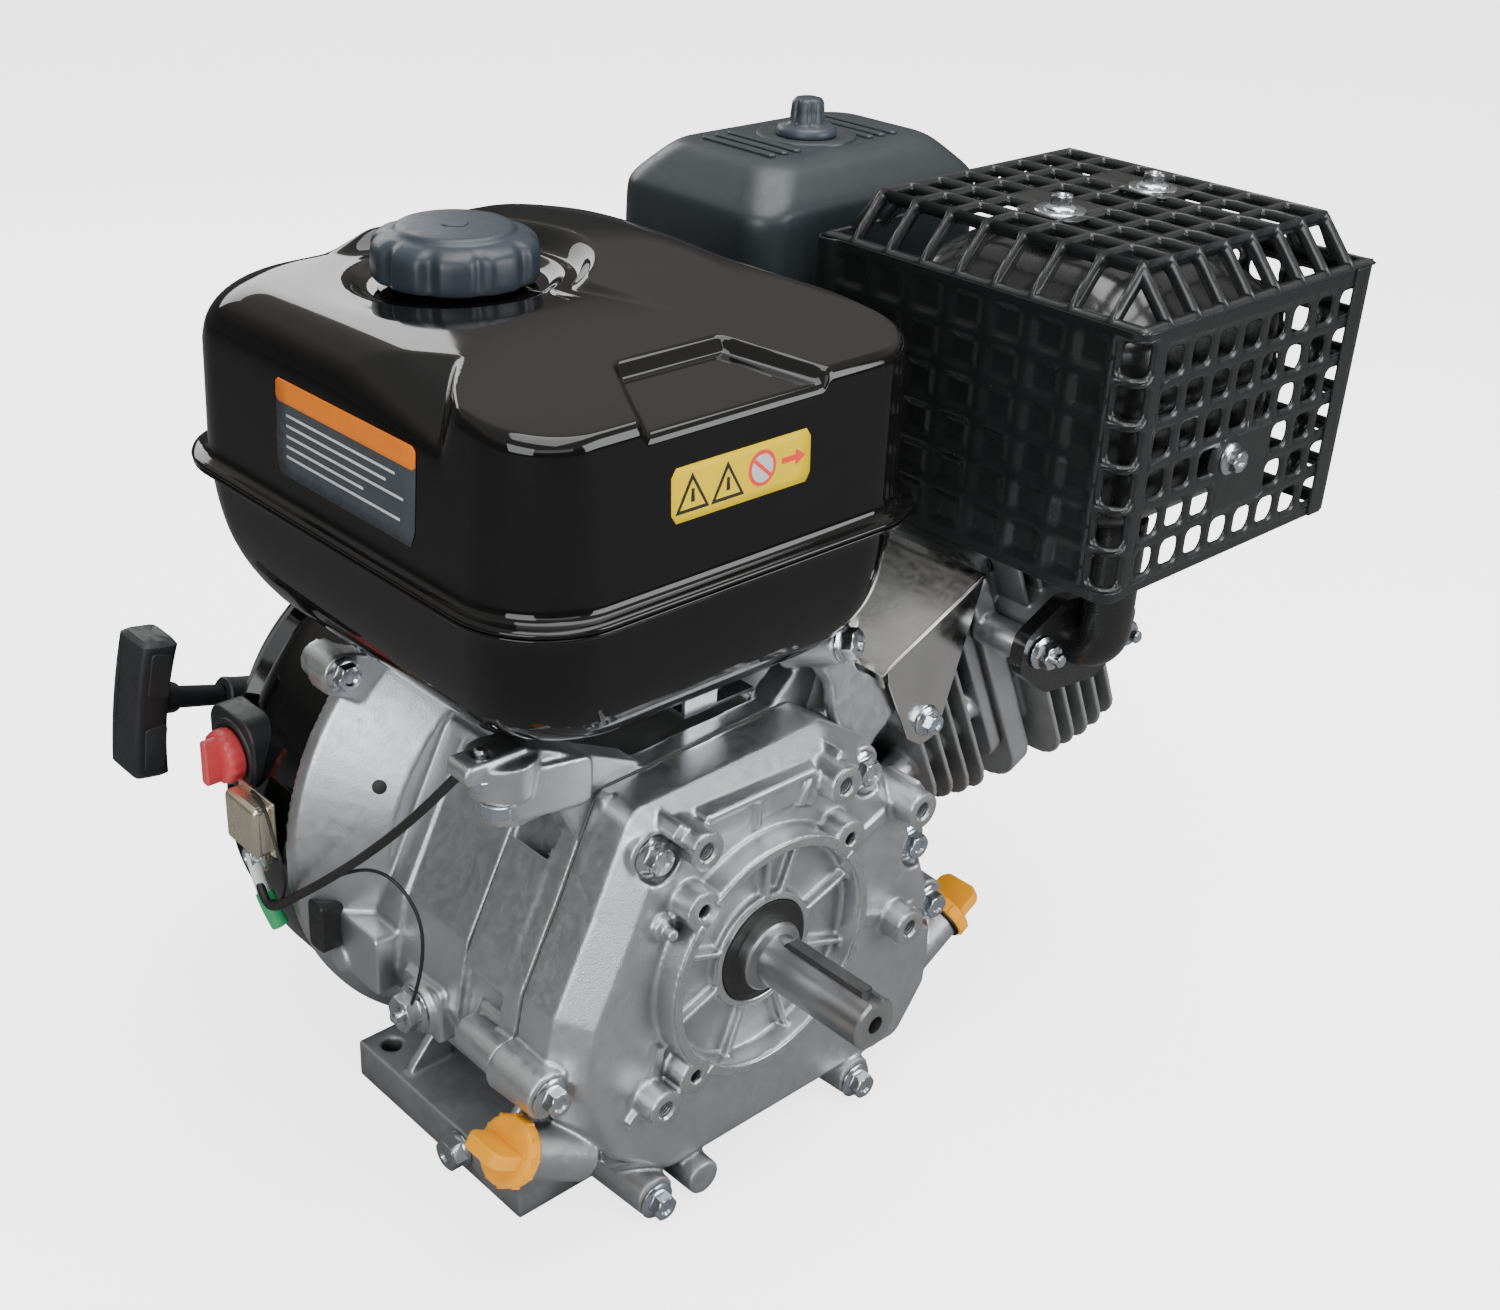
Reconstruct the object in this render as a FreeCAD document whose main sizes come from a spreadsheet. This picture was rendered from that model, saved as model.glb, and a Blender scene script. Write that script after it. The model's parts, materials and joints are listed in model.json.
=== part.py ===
import FreeCAD, Part
import math
import os
import re
from FreeCAD import Matrix, Placement, Rotation, Vector as Vec

# Small air-cooled single-cylinder gasoline engine with a horizontal output shaft.
# Millimetres. The origin is where the crank axis meets the output flange face.
# The output shaft points to -Y (front), +X is right, towards the cylinder head, +Z is up.
# The cylinder is tilted: "out" runs along it away from the crank axis, "down" is square to it.

DIMS = {
    # output shaft, mounting face and feet
    "shaft_dia": 25.4, "shaft_length": 63.5, "journal_dia": 35, "keyway_width": 6.35,
    "crank_height": 133, "base_hole_span_x": 195, "base_hole_span_y": 92, "base_hole_dia": 11,
    "foot_thickness": 22, "flange_square": 92, "flange_hole_dia": 6.8, "flange_outer_dia": 125,
    "flange_inner_dia": 113, "boss_hole_dia": 8.5, "boss_dia": 19,
    # case
    "cover_front": 13, "cover_back": 50, "case_front": 51, "case_back": 196,
    "bell_dia": 274, "bell_back": 200,
    "bearing_od": 72, "bearing_width": 17, "seal_od": 52, "seal_width": 8,
    # cylinder, head and crank train
    "bore_dia": 88, "stroke": 64, "cyl_angle": 25, "cyl_y": 110, "deck_s": 198,
    "barrel_dia": 100, "fin_thickness": 2.5, "fin_pitch": 11, "head_top": 275,
    "rod_length": 125, "pin_dia": 36, "gear_module": 2, "crank_teeth": 22, "cam_teeth": 44,
    "gear_centre": 66.15, "cam_angle": -55, "gear_width": 10,
    # tank, fan cover, starter, guard
    "tank_seam_z": 199, "tank_wall": 1.6, "cap_dia": 75,
    "fan_cover_dia": 268, "fan_cover_depth": 84, "recoil_dia": 196, "flywheel_width": 33,
    "guard_sheet": 2, "guard_left": 161, "guard_right": 347, "guard_front": -40,
    "guard_back": 154, "guard_bottom": 147, "guard_top": 300,
    "bolt_dia": 7.8, "bolt_hex": 13, "handle_length": 72,
    # air cleaner
    "cleaner_left": 132, "cleaner_right": 298, "cleaner_front": 165, "cleaner_back": 277,
    "cleaner_top": 305, "cleaner_bottom": 190, "knob_dia": 30,
}


class Dim:
    """The driving dimensions as attributes, e.g. Dim.stroke."""


doc = FreeCAD.newDocument("gasoline_engine")
sheet = doc.addObject("Spreadsheet::Sheet", "Dims")
for row, (alias, value) in enumerate(DIMS.items(), 1):
    sheet.set(f"A{row}", alias)
    sheet.set(f"B{row}", str(value))
    sheet.setAlias(f"B{row}", alias)
    setattr(Dim, alias, value)
doc.recompute()

# ------------------------------------------------------------------ axes and planes
X, Y, Z = Vec(1, 0, 0), Vec(0, 1, 0), Vec(0, 0, 1)
tilt = math.radians(Dim.cyl_angle)
OUT = Vec(math.cos(tilt), 0, math.sin(tilt))
DOWN = Vec(math.sin(tilt), 0, -math.cos(tilt))


def tilted(out, y, down):
    """Point given in the cylinder's own directions."""
    return OUT * out + Y * y + DOWN * down


def frame(origin, x_axis, y_axis):
    z_axis = x_axis.cross(y_axis)
    return Placement(Matrix(
        x_axis.x, y_axis.x, z_axis.x, origin.x,
        x_axis.y, y_axis.y, z_axis.y, origin.y,
        x_axis.z, y_axis.z, z_axis.z, origin.z,
        0, 0, 0, 1))


def plane_xz(y, angle=0, x=0, z=0):
    """Outline in X, Z, turned by angle about Y. Grows towards -Y."""
    cosine, sine = math.cos(angle), math.sin(angle)
    return frame(Vec(x, y, z), Vec(cosine, 0, sine), Vec(-sine, 0, cosine))


def plane_yz(x):
    """Outline in Y, Z. Grows towards +X."""
    return frame(Vec(x, 0, 0), Y, Z)


def plane_xy(z):
    """Outline in X, Y. Grows up."""
    return Placement(Vec(0, 0, z), Rotation())


def plane_out_down(y):
    """Outline in out, down. Grows towards +Y."""
    return frame(Vec(0, y, 0), OUT, DOWN)


def plane_down_y(out):
    """Outline in down, Y. Grows out along the cylinder."""
    return frame(OUT * out, DOWN, Y)


# ------------------------------------------------------------------ solids and booleans
def add(kind):
    return doc.addObject(kind, kind.split("::")[1])


def bind(piece, prop, value):
    """Set a property to a number, or to an expression written in the sheet's aliases."""
    if isinstance(value, str):
        piece.setExpression(prop, re.sub("([a-z_]+)", r"Dims.\1", value))
    else:
        setattr(piece, prop, value)


def bar(line, radius, start, length):
    """Round bar about a line (point, direction), beginning at start along it."""
    point, direction = line
    piece = add("Part::Cylinder")
    bind(piece, "Radius", radius)
    bind(piece, "Height", length)
    piece.Placement = Placement(point + direction * start, Rotation(Z, direction))
    return piece


def bar_y(radius, x, z, front, back):
    return bar((Vec(x, 0, z), Y), radius, front, back - front)


def bar_z(radius, x, y, bottom, top):
    return bar((Vec(x, y, 0), Z), radius, bottom, top - bottom)


def bar_out(radius, y, down, near, far):
    return bar((tilted(0, y, down), OUT), radius, near, far - near)


def bore_bar(radius, near, far):
    """Round bar on the cylinder's axis."""
    return bar_out(radius, Dim.cyl_y, 0, near, far)


def each(make, radius, spots, start, end):
    """The same bar_y, bar_z or bar_out at every spot."""
    return [make(radius, *spot, start, end) for spot in spots]


def hex_bar(line, across_flats, start, length):
    point, direction = line
    piece = add("Part::Prism")
    piece.Polygon = 6
    bind(piece, "Circumradius", f"({across_flats})/1.7320508")
    bind(piece, "Height", length)
    piece.Placement = Placement(point + direction * start, Rotation(Z, direction))
    return piece


def block(length, width, height, placement):
    piece = add("Part::Box")
    piece.Length, piece.Width, piece.Height = length, width, height
    piece.Placement = placement
    return piece


def box(x0, x1, y0, y1, z0, z1):
    return block(x1 - x0, y1 - y0, z1 - z0, Placement(Vec(x0, y0, z0), Rotation()))


def box_out(out0, out1, y0, y1, down0, down1):
    corner = tilted(out0, y0, down0)
    return block(out1 - out0, down1 - down0, y1 - y0, frame(corner, OUT, DOWN))


def fuse(*pieces):
    if len(pieces) == 1:
        return pieces[0]
    result = add("Part::MultiFuse")
    result.Shapes = list(pieces)
    return result


def cut(base, *tools):
    result = add("Part::Cut")
    result.Base = base
    result.Tool = fuse(*tools)
    return result


def common(*pieces):
    result = add("Part::MultiCommon")
    result.Shapes = list(pieces)
    return result


def group(*pieces):
    result = add("Part::Compound")
    result.Links = list(pieces)
    return result


def feature(shape):
    """Document object holding a ready-made shape."""
    piece = add("Part::Feature")
    piece.Shape = shape
    return piece


def ring(line, outer, inner, start, length):
    """Round bar with a through hole, up to 90 long."""
    return cut(bar(line, outer, start, length), bar(line, inner, start - 10, 100))


def screw(line, start, shank, across_flats="bolt_hex", radius="bolt_dia/2",
          head=5.3, flange=9.0):
    """Flange-head screw whose head bears at start, shank running on along the line."""
    return fuse(bar(line, flange, start - 1.6, 1.6),
                hex_bar(line, across_flats, start - 1.6 - head, head),
                bar(line, radius, start - 0.8, shank + 0.8))


# ------------------------------------------------------------------ outlines
def outline(points, radii=0):
    """Closed run of lines and corner arcs; radii is one number or one per corner."""
    count = len(points)
    corners = []    # (start, end, middle of the arc, or None at a sharp corner)
    for i in range(count):
        corner = Vec(*points[i], 0)
        back = Vec(*points[i - 1], 0) - corner
        ahead = Vec(*points[(i + 1) % count], 0) - corner
        shortest = min(back.Length, ahead.Length)
        radius = radii[i] if isinstance(radii, (list, tuple)) else radii
        back.normalize()
        ahead.normalize()
        angle = back.getAngle(ahead)
        if radius <= 0 or abs(angle - math.pi) < 0.02:
            corners.append((corner, corner, None))
            continue
        # a corner takes at most 0.48 of the shorter side next to it
        trim = min(radius / math.tan(angle / 2), 0.48 * shortest)
        radius = trim * math.tan(angle / 2)
        inward = back + ahead
        inward.normalize()
        middle = corner + inward * (radius / math.sin(angle / 2) - radius)
        corners.append((corner + back * trim, corner + ahead * trim, middle))
    edges = []
    for i, (start, end, middle) in enumerate(corners):
        if middle is not None:
            edges.append(Part.Arc(start, middle, end))
        following = corners[(i + 1) % count][0]
        if (following - end).Length > 1e-4:
            edges.append(Part.LineSegment(end, following))
    return edges


def outline_wire(points, radii):
    return Part.Wire([edge.toShape() for edge in outline(points, radii)])


def rect(x0, x1, y0, y1):
    return [(x0, y0), (x1, y0), (x1, y1), (x0, y1)]


def inset(points, distance):
    """Outline with every side moved inwards by distance."""
    count = len(points)
    area = sum(points[i - 1][0] * points[i][1] - points[i][0] * points[i - 1][1]
               for i in range(count))
    sign = 1 if area > 0 else -1
    sides = []    # inward normal and its offset from the origin
    for i in range(count):
        (x0, y0), (x1, y1) = points[i], points[(i + 1) % count]
        length = math.hypot(x1 - x0, y1 - y0)
        nx = -(y1 - y0) / length * sign
        ny = (x1 - x0) / length * sign
        sides.append((nx, ny, nx * x0 + ny * y0 + distance))
    result = []
    for i in range(count):
        (ax, ay, reach_a), (bx, by, reach_b) = sides[i - 1], sides[i]
        det = ax * by - ay * bx
        result.append(((reach_a * by - ay * reach_b) / det, (ax * reach_b - reach_a * bx) / det))
    return result


def sketch_body(points, radii, kind):
    """Body with a sketched outline and a pad or revolution that uses it."""
    body = add("PartDesign::Body")
    sketch = body.newObject("Sketcher::SketchObject", "Sketch")
    plane = [item for item in body.Origin.OriginFeatures if item.Role == "XY_Plane"][0]
    sketch.AttachmentSupport = [(plane, "")]
    sketch.MapMode = "FlatFace"
    for edge in outline(points, radii):
        sketch.addGeometry(edge, False)
    solid = body.newObject("PartDesign::" + kind, kind)
    solid.Profile = sketch
    body.Tip = solid
    return body, sketch, solid


def prism(points, radii, length, placement):
    body, _, pad = sketch_body(points, radii, "Pad")
    bind(pad, "Length", length)
    body.Placement = placement
    return body


def turned(points):
    """Outline in y, radius turned about the crank axis."""
    body, sketch, turn = sketch_body(points, 0, "Revolution")
    turn.ReferenceAxis = (sketch, ["H_Axis"])
    turn.Angle = 360
    body.Placement = frame(Vec(), Y, X)
    return body


def drafted(*sections):
    """Loft between outlines (points, corner radius, y)."""
    wires = []
    for points, radius, y in sections:
        wire = outline_wire(points, radius)
        wire.Placement = plane_xz(y)
        wires.append(wire)
    return feature(Part.makeLoft(wires, True, True))


def swept(path, radius, start, tangent):
    """Round section carried along a wire."""
    section = Part.Wire(Part.makeCircle(radius, start, tangent))
    return path.makePipeShell([section], True, True)


def tube(points, radius):
    """Round section carried along a smooth curve through the points."""
    curve = Part.BSplineCurve()
    curve.interpolate(points)
    tangent = curve.tangent(curve.FirstParameter)[0]
    return swept(Part.Wire(curve.toShape()), radius, points[0], tangent)


def corners_at(half_a, half_b, mid_a=0, mid_b=0):
    return [(mid_a + i * half_a, mid_b + j * half_b) for i in (-1, 1) for j in (-1, 1)]


def circle_spots(radius, angles, mid_a=0, mid_b=0):
    return [(mid_a + radius * math.cos(a), mid_b + radius * math.sin(a)) for a in angles]


def turns(count, phase=0):
    """Equally spaced angles; phase is a fraction of one step."""
    return [2 * math.pi * (i + phase) / count for i in range(count)]


BUILDERS = []


def part(build):
    """Register the function that builds a piece; its name is the piece's Label."""
    BUILDERS.append(build)
    return build


# ------------------------------------------------------------------ shared places
CRANK = (Vec(), Y)
CAM_ANGLE = math.radians(Dim.cam_angle)
CAM_X = Dim.gear_centre * math.cos(CAM_ANGLE)
CAM_Z = Dim.gear_centre * math.sin(CAM_ANGLE)
MID_Y = Dim.cyl_y                                 # the cylinder's axis plane
CRANKPIN = (tilted(Dim.stroke / 2, 0, 0), Y)
TOP = Dim.stroke / 2 + Dim.rod_length             # piston pin at the top of the stroke
PISTON_PIN = (tilted(TOP, 0, 0), Y)

# Case outline and bolt places in X, Z
CASE = [(-66, 92), (50, 96), (78, 78), (122, 14), (142, -40), (142, -88), (118, -122),
        (-52, -122), (-92, -92), (-115, -40), (-108, 0), (-87, 44)]
# The case behind the cover joint has its lower right corner stepped in
CASE_BODY = CASE[:5] + [(142, -92), (94, -99), (84, -122)] + CASE[7:]
CASE_CORNER = 12
UPPER_BOLTS = [(-60, 71), (72, 65), (113, 7), (-116, -33), (133, -38)]
LOWER_BOLTS = [(-59, -121), (78, -121)]
COVER_BOLTS = UPPER_BOLTS + LOWER_BOLTS
BOLT_PAD = 9          # radius of the pads around the cover bolts
FACE_BOSSES = [(-46, 77), (40, 77), (97, 41), (97, -28), (-64, -56)]
LUGS = corners_at(Dim.flange_square / 2, Dim.flange_square / 2)
LUG_RADIUS = 9.5
BELL_HOLES = [(-108, 60), (108, 60), (-104, -70), (0, 124)]

# Places in X, Y
BASE_HOLES = corners_at(Dim.base_hole_span_x / 2, Dim.base_hole_span_y / 2, 0, 128)
TANK_FRONT = [(-122, 59), (88, 59)]
TANK_REAR = [(-60, 191.5), (60, 191.5)]
CAP_SPOT = (-37, 188)
KNOB_SPOT = (215, 221)
GUARD_TOP_SCREWS = [(222, 57.5), (295, 57.5)]

# Places in Y, down
HEAD_BOLTS = [(54, -38), (166, -38), (54, 38), (166, 38)]
PUSHRODS = [(73, 65.1), (148, 65.1)]
VALVES = [(92, 3), (132, 3)]
ROCKER_STUDS = [(92, 35), (132, 35)]

# Lines: (point, direction)
DIPSTICK_LEFT = (Vec(-118.1, 27, -68.3), Vec(-0.857, 0, 0.515))
DIPSTICK_RIGHT = (Vec(140, 27, -67), Vec(0.857, 0, 0.515))
DRAIN_LEFT = (Vec(-109.4, 98, -121), X)
DRAIN_RIGHT = (Vec(109.4, 74, -123), -X)
LEVEL_SWITCH = (Vec(-117, 122, -46), X)
SHIELD_SCREW = (tilted(146, 0, -4), Y)
PLUG = (tilted(207, 76, -18), OUT * 0.8 - Y * 0.6)
PORT = (tilted(232, 0, 3), Y)                     # exhaust in front, intake at the back
PORT_X, PORT_Z = PORT[0].x, PORT[0].z
PORT_SIDE = Vec(0.994, 0, -0.109)                 # towards the first exhaust stud
EXHAUST_STUDS = [(PORT[0] + PORT_SIDE * offset, Y) for offset in (32, -32)]
GUARD_SCREW = (Vec(247, 0, 199), Y)
OUTLET = (Vec(0, 60, 210), X)
BELL = (Vec(0, 0, 3), Y)
FAN = (Vec(0, 0, 2), Y)
SWITCH = (Vec(-133, 250, 42), X)
rope_direction = Vec(-0.96, 0, 0.277)
rope_direction.normalize()
ROPE = (Vec(-84, 302, 37), rope_direction)


# ------------------------------------------------------------------ crankcase and cover
@part
def crankcase_cover():
    front, back = Dim.cover_front, Dim.cover_back
    cover = fuse(
        prism(CASE, CASE_CORNER, "cover_back-cover_front-15", plane_xz(back)),
        drafted((inset(CASE, 13), 8, front), (CASE, CASE_CORNER, front + 15)),
        bar(DIPSTICK_LEFT, 13.2, -29, 43),
        bar(DIPSTICK_RIGHT, 13.2, -16, 30),
        *each(bar_y, "boss_dia/2", FACE_BOSSES, 0, 34),
        *each(bar_y, LUG_RADIUS, LUGS, 0, 24),
        bar(CRANK, "flange_outer_dia/2", 0, 16),
        *each(bar_y, BOLT_PAD, UPPER_BOLTS, 20, back),
        *each(bar_y, BOLT_PAD, LOWER_BOLTS, 10, back))
    # hollow it and sink the face inside the flange rim
    cover = cut(cover, prism(inset(CASE, 8), 8, 30, plane_xz(51)),
                bar(CRANK, "flange_inner_dia/2", 0, 12))
    # bolt pads, seal and bearing hubs, camshaft boss, radial ribs on the face
    rib_angles = (20, 70, 160, 200, 250, 290, 340)
    cover = fuse(
        cover, *each(bar_y, BOLT_PAD, COVER_BOLTS, 20, back),
        bar(CRANK, 30, 7, 32),
        bar(CRANK, 43, 14, 25),
        bar_y(15, CAM_X, CAM_Z, 14, 38),
        *each(bar_y, "boss_dia/2", FACE_BOSSES, 0, 24),
        *each(bar_y, LUG_RADIUS, LUGS, 0, 24),
        box(-1.6, 1.6, 6, 14, 29, 60),
        *[prism(rect(29, 58, -1.6, 1.6), 0, 6, plane_xz(12.5, math.radians(angle)))
          for angle in rib_angles])
    # bearing, shaft, seal and camshaft bores, then the screw and dipstick holes
    return cut(
        cover, bar(CRANK, "bearing_od/2", 20, 20),
        bar(CRANK, 22, 5, 40),
        bar(CRANK, "seal_od/2", 6, "seal_width+1"),
        bar_y(9.0, CAM_X, CAM_Z, 20, 40),
        *each(bar_y, "flange_hole_dia/2", LUGS, -1, 20),
        *each(bar_y, "boss_hole_dia/2", FACE_BOSSES, -1, 20),
        *each(bar_y, 4.3, COVER_BOLTS, 5, 52),
        *each(bar_y, 11.5, UPPER_BOLTS, -2, 20),
        bar(DIPSTICK_LEFT, 10.5, -57, 73),
        bar(DIPSTICK_RIGHT, 10.5, -44, 60))


def fins(first, edges, front, back, radii):
    """Fins from out = first, one per lower edge, a fin pitch apart."""
    return [prism(rect(-50, edge, front, back), radii, "fin_thickness",
                  plane_down_y(first + i * Dim.fin_pitch)) for i, edge in enumerate(edges)]


@part
def crankcase():
    front, back, deck = Dim.case_front, Dim.case_back, Dim.deck_s
    foot = -Dim.crank_height
    bell_cone = add("Part::Cone")
    bell_cone.Radius1 = 104
    bind(bell_cone, "Radius2", "bell_dia/2")
    bell_cone.Height = 32
    bell_cone.Placement = Placement(Vec(0, 160, 3), Rotation(Z, Y))
    left_arm = [(-109, 117.5), (-135, 117.5), (-135, 126.9), (-104, 126.9), (-40, 96),
                (-40, 78), (-72, 62), (-92, 100)]
    right_arm = [(34, 90), (60, 112), (74, 126.9), (98, 126.9), (98, 117.5), (76, 117.5),
                 (66, 86)]
    case = fuse(
        prism(CASE, CASE_CORNER, 12, plane_xz(front + 12)),
        prism(inset(CASE_BODY, 8), CASE_CORNER, 134, plane_xz(back)),
        bell_cone,
        bar(BELL, "bell_dia/2", Dim.bell_back - 8, 8),
        box(-109.4, 109.4, front, 187.4, foot, foot + Dim.foot_thickness),
        # barrel, pushrod tower, head bolt columns, deck flange and fins
        bore_bar("barrel_dia/2", 50, deck),
        box_out(50, deck, 60, 161, 43, 80),
        *each(bar_out, 9.5, HEAD_BOLTS, 120, deck),
        prism(rect(-52, 82, 42, 178), 14, 8, plane_down_y(deck - 8)),
        *fins(142, (73, 80, 88, 94), 36, 176, [14, 26, 26, 14]),
        # tank arms in front, tank posts behind, heat shield boss
        prism(left_arm, 4, 15, plane_xz(66.5)),
        prism(right_arm, 4, 15, plane_xz(66.5)),
        *each(bar_z, 8, TANK_REAR, 110, 140.6),
        bar(SHIELD_SCREW, 11, 36, 12))
    # crank chamber, bore, recess under the base, pushrod passage
    case = cut(
        case, prism(inset(CASE_BODY, 15), 6, 127, plane_xz(178)),
        bore_bar("bore_dia/2", 20, 200),
        box(-80, 80, 60, 176, -140, -121),
        box(-150, 150, 150, 202, -150, foot),
        box_out(40, 200, 64, 157, 56, 76))
    # bolt pads, rear bearing hub, camshaft boss, lifter block
    case = fuse(
        case, *each(bar_y, BOLT_PAD, UPPER_BOLTS, front, 80),
        *each(bar_y, BOLT_PAD, LOWER_BOLTS, front, 76),
        bar(CRANK, 43, 171, 26),
        bar_y(15, CAM_X, CAM_Z, 168, 190),
        box_out(46, 104, 63, 158, 53, 79))
    return cut(
        case, bar(CRANK, "bearing_od/2", 170, "bearing_width+1"),
        bar(CRANK, 22, 170, 40),
        bar(CRANK, "seal_od/2", 192, "seal_width+3"),
        bar_y(9.0, CAM_X, CAM_Z, 160, 186),
        *each(bar_y, 4.1, COVER_BOLTS, 50, 72),
        *each(bar_z, "base_hole_dia/2", BASE_HOLES, -140, -95),
        *each(bar_out, 5.1, HEAD_BOLTS, 150, 200),
        *each(bar_out, 7.05, PUSHRODS, 40, 70),
        *each(bar_out, 5.5, PUSHRODS, 66, 106),
        *each(bar_z, 4.2, TANK_FRONT, 110, 130),
        *each(bar_z, 4.1, TANK_REAR, 128, 149),
        bar(SHIELD_SCREW, 3.6, 33, 16),
        bar(DRAIN_LEFT, 6.1, -2.6, 30),
        bar(DRAIN_RIGHT, 6.1, -2.6, 30),
        bar(LEVEL_SWITCH, 6.1, -8, 40),
        *each(bar_y, 3.2, BELL_HOLES, 185, 202))


@part
def drain_plugs():
    return group(*[fuse(bar(line, 6.0, 0, thread), bar(line, 9, -2, 2),
                        hex_bar(line, 15, -10, 8))
                   for line, thread in ((DRAIN_LEFT, 16), (DRAIN_RIGHT, 5.5))])


# ------------------------------------------------------------------ seals, bearings, crank
@part
def oil_seals():
    return group(*[ring(CRANK, "seal_od/2-0.02", "journal_dia/2+0.05", y, "seal_width-0.1")
                   for y in (7, 192)])


def bearing(front):
    balls = []
    for x, z in circle_spots(26.75, turns(9)):
        ball = add("Part::Sphere")
        ball.Radius = 4.25
        ball.Placement = Placement(Vec(x, front + Dim.bearing_width / 2, z), Rotation())
        balls.append(ball)
    return group(ring(CRANK, "bearing_od/2-0.02", 31.1, front, "bearing_width"),
                 ring(CRANK, 22.4, "journal_dia/2+0.05", front, "bearing_width"), *balls)


@part
def main_bearings():
    return group(bearing(20.1), bearing(170.9))


def crank_web(front):
    """Disc trimmed to a broad counterweight and a narrow arm to the crankpin."""
    return common(bar(CRANK, 54, front, 14),
                  fuse(box_out(-60, 6, front - 2, front + 15, -60, 60),
                       box_out(0, 52, front - 2, front + 15, -27, 27)))


@part
def crankshaft():
    output, journal, tip = Dim.shaft_dia / 2, Dim.journal_dia / 2, -Dim.shaft_length
    front_end = [(tip, 0), (tip, output - 1.2), (tip + 1.2, output), (-1.5, output),
                 (0, journal - 1), (1, journal), (40, journal), (40, 16), (66, 16),
                 (66, 21), (83, 21), (83, 0)]
    rear_end = [(137, 0), (137, 21), (165, 21), (165, journal), (201, journal),
                (201, 16.5), (236, 12.5), (236, 9), (266, 9), (266, 0)]
    shaft = fuse(turned(front_end), turned(rear_end), crank_web(82), crank_web(124),
                 bar(CRANKPIN, "pin_dia/2", 95, 30))
    half_key = Dim.keyway_width / 2
    return cut(shaft, box(-half_key, half_key, -70, -8, output - 3.4, 30),
               bar(CRANK, 4.3, -64, 26))


@part
def shaft_key():
    output = Dim.shaft_dia / 2
    return box(-3.15, 3.15, -57, -11, output - 3.38, output + 2.9)


def gear(teeth, x, z, phase, bore):
    """Involute spur gear with flanks of short chords, extruded along Y."""
    front, pressure, thinning = 52, math.radians(20), 0.16
    pitch_radius = teeth * Dim.gear_module / 2
    base = pitch_radius * math.cos(pressure)
    tip = pitch_radius + 0.95 * Dim.gear_module
    root = pitch_radius - 1.25 * Dim.gear_module

    def involute(angle):
        return math.tan(angle) - angle

    def half_tooth(radius):
        return (math.pi / (2 * teeth) + involute(pressure)
                - involute(math.acos(base / radius)) - thinning / (2 * pitch_radius))

    low = max(base, root)
    flank = [low + (tip - low) * k / 5 for k in range(6)]
    root_half = half_tooth(low) + 0.1 / pitch_radius
    points = []    # (radius, angle)
    for i in range(teeth):
        middle = phase + 2 * math.pi * i / teeth
        points.append((root, middle - root_half))
        points += [(radius, middle - half_tooth(radius)) for radius in flank]
        points += [(radius, middle + half_tooth(radius)) for radius in reversed(flank)]
        points.append((root, middle + root_half))
    corners = [Vec(x + radius * math.cos(angle), front, z + radius * math.sin(angle))
               for radius, angle in points]
    face = Part.Face(Part.makePolygon(corners + [corners[0]]))
    hole = Part.makeCylinder(bore, Dim.gear_width + 2, Vec(x, front - 1, z), Y)
    return feature(face.extrude(Vec(0, Dim.gear_width, 0)).cut(hole))


@part
def crank_gear():
    return gear(Dim.crank_teeth, 0, 0, CAM_ANGLE, 16.03)


def cam_lobe(front, back, degrees):
    profile = [(-8, -14.2), (0, -14.6), (13, -8), (13, 8), (0, 14.6), (-8, 14.2)]
    return prism(profile, [4, 8, 8, 8, 8, 4], back - front,
                 plane_xz(back, math.radians(degrees), CAM_X, CAM_Z))


@part
def camshaft():
    # turned so that a gap meets the crank gear's tooth
    phase = CAM_ANGLE + math.pi + math.pi / Dim.cam_teeth
    # radius, front, back
    steps = [(8.95, 24, 66), (8.0, 60, 145), (8.95, 145, 184), (14, 62, 66)]
    return fuse(gear(Dim.cam_teeth, CAM_X, CAM_Z, phase, 5.0),
                *[bar_y(radius, CAM_X, CAM_Z, front, back) for radius, front, back in steps],
                cam_lobe(67, 79, 205), cam_lobe(142, 154, 295))


@part
def flywheel():
    front = 208
    back = front + Dim.flywheel_width
    profile = [(front, 40), (front, 104), (back, 104), (back, 92), (216, 92), (216, 30),
               (236, 30), (236, 13.2), (203, 16.7), (203, 40)]
    return fuse(turned(profile), *[prism(rect(62, 100, -1.5, 1.5), 0, 42, plane_xz(257, angle))
                                   for angle in turns(14)])


@part
def starter_cup():
    return turned([(236.3, 9.3), (236.3, 34), (262, 37), (262, 40), (264, 40), (264, 35),
                   (239, 32), (239, 9.3)])


@part
def flywheel_nut():
    return cut(hex_bar(CRANK, 24, 239.2, 12), bar(CRANK, 9.2, 236, 20))


# ------------------------------------------------------------------ piston and rod
RINGS = [(34, 1.5), (28, 1.5), (20, 2.5)]    # start beyond the pin axis, width


def piston_band(outer, inner, start, width, *gaps):
    return cut(bore_bar(outer, start, start + width),
               bore_bar(inner, start - 1, start + width + 1), *gaps)


@part
def piston():
    shell = cut(bore_bar("bore_dia/2-0.3", TOP - 26, TOP + 40),
                bore_bar("bore_dia/2-5", TOP - 30, TOP + 32))
    bosses = common(bore_bar("bore_dia/2-1", TOP - 16, TOP + 34),
                    fuse(box_out(TOP - 16, TOP + 34, MID_Y - 43, MID_Y - 14, -17, 17),
                         box_out(TOP - 16, TOP + 34, MID_Y + 14, MID_Y + 43, -17, 17)))
    return cut(fuse(shell, bosses), bar(PISTON_PIN, 10.02, MID_Y - 50, 100),
               *[piston_band("bore_dia/2+1", "bore_dia/2-3.2", TOP + start - 0.1, width + 0.2)
                 for start, width in RINGS])


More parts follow.
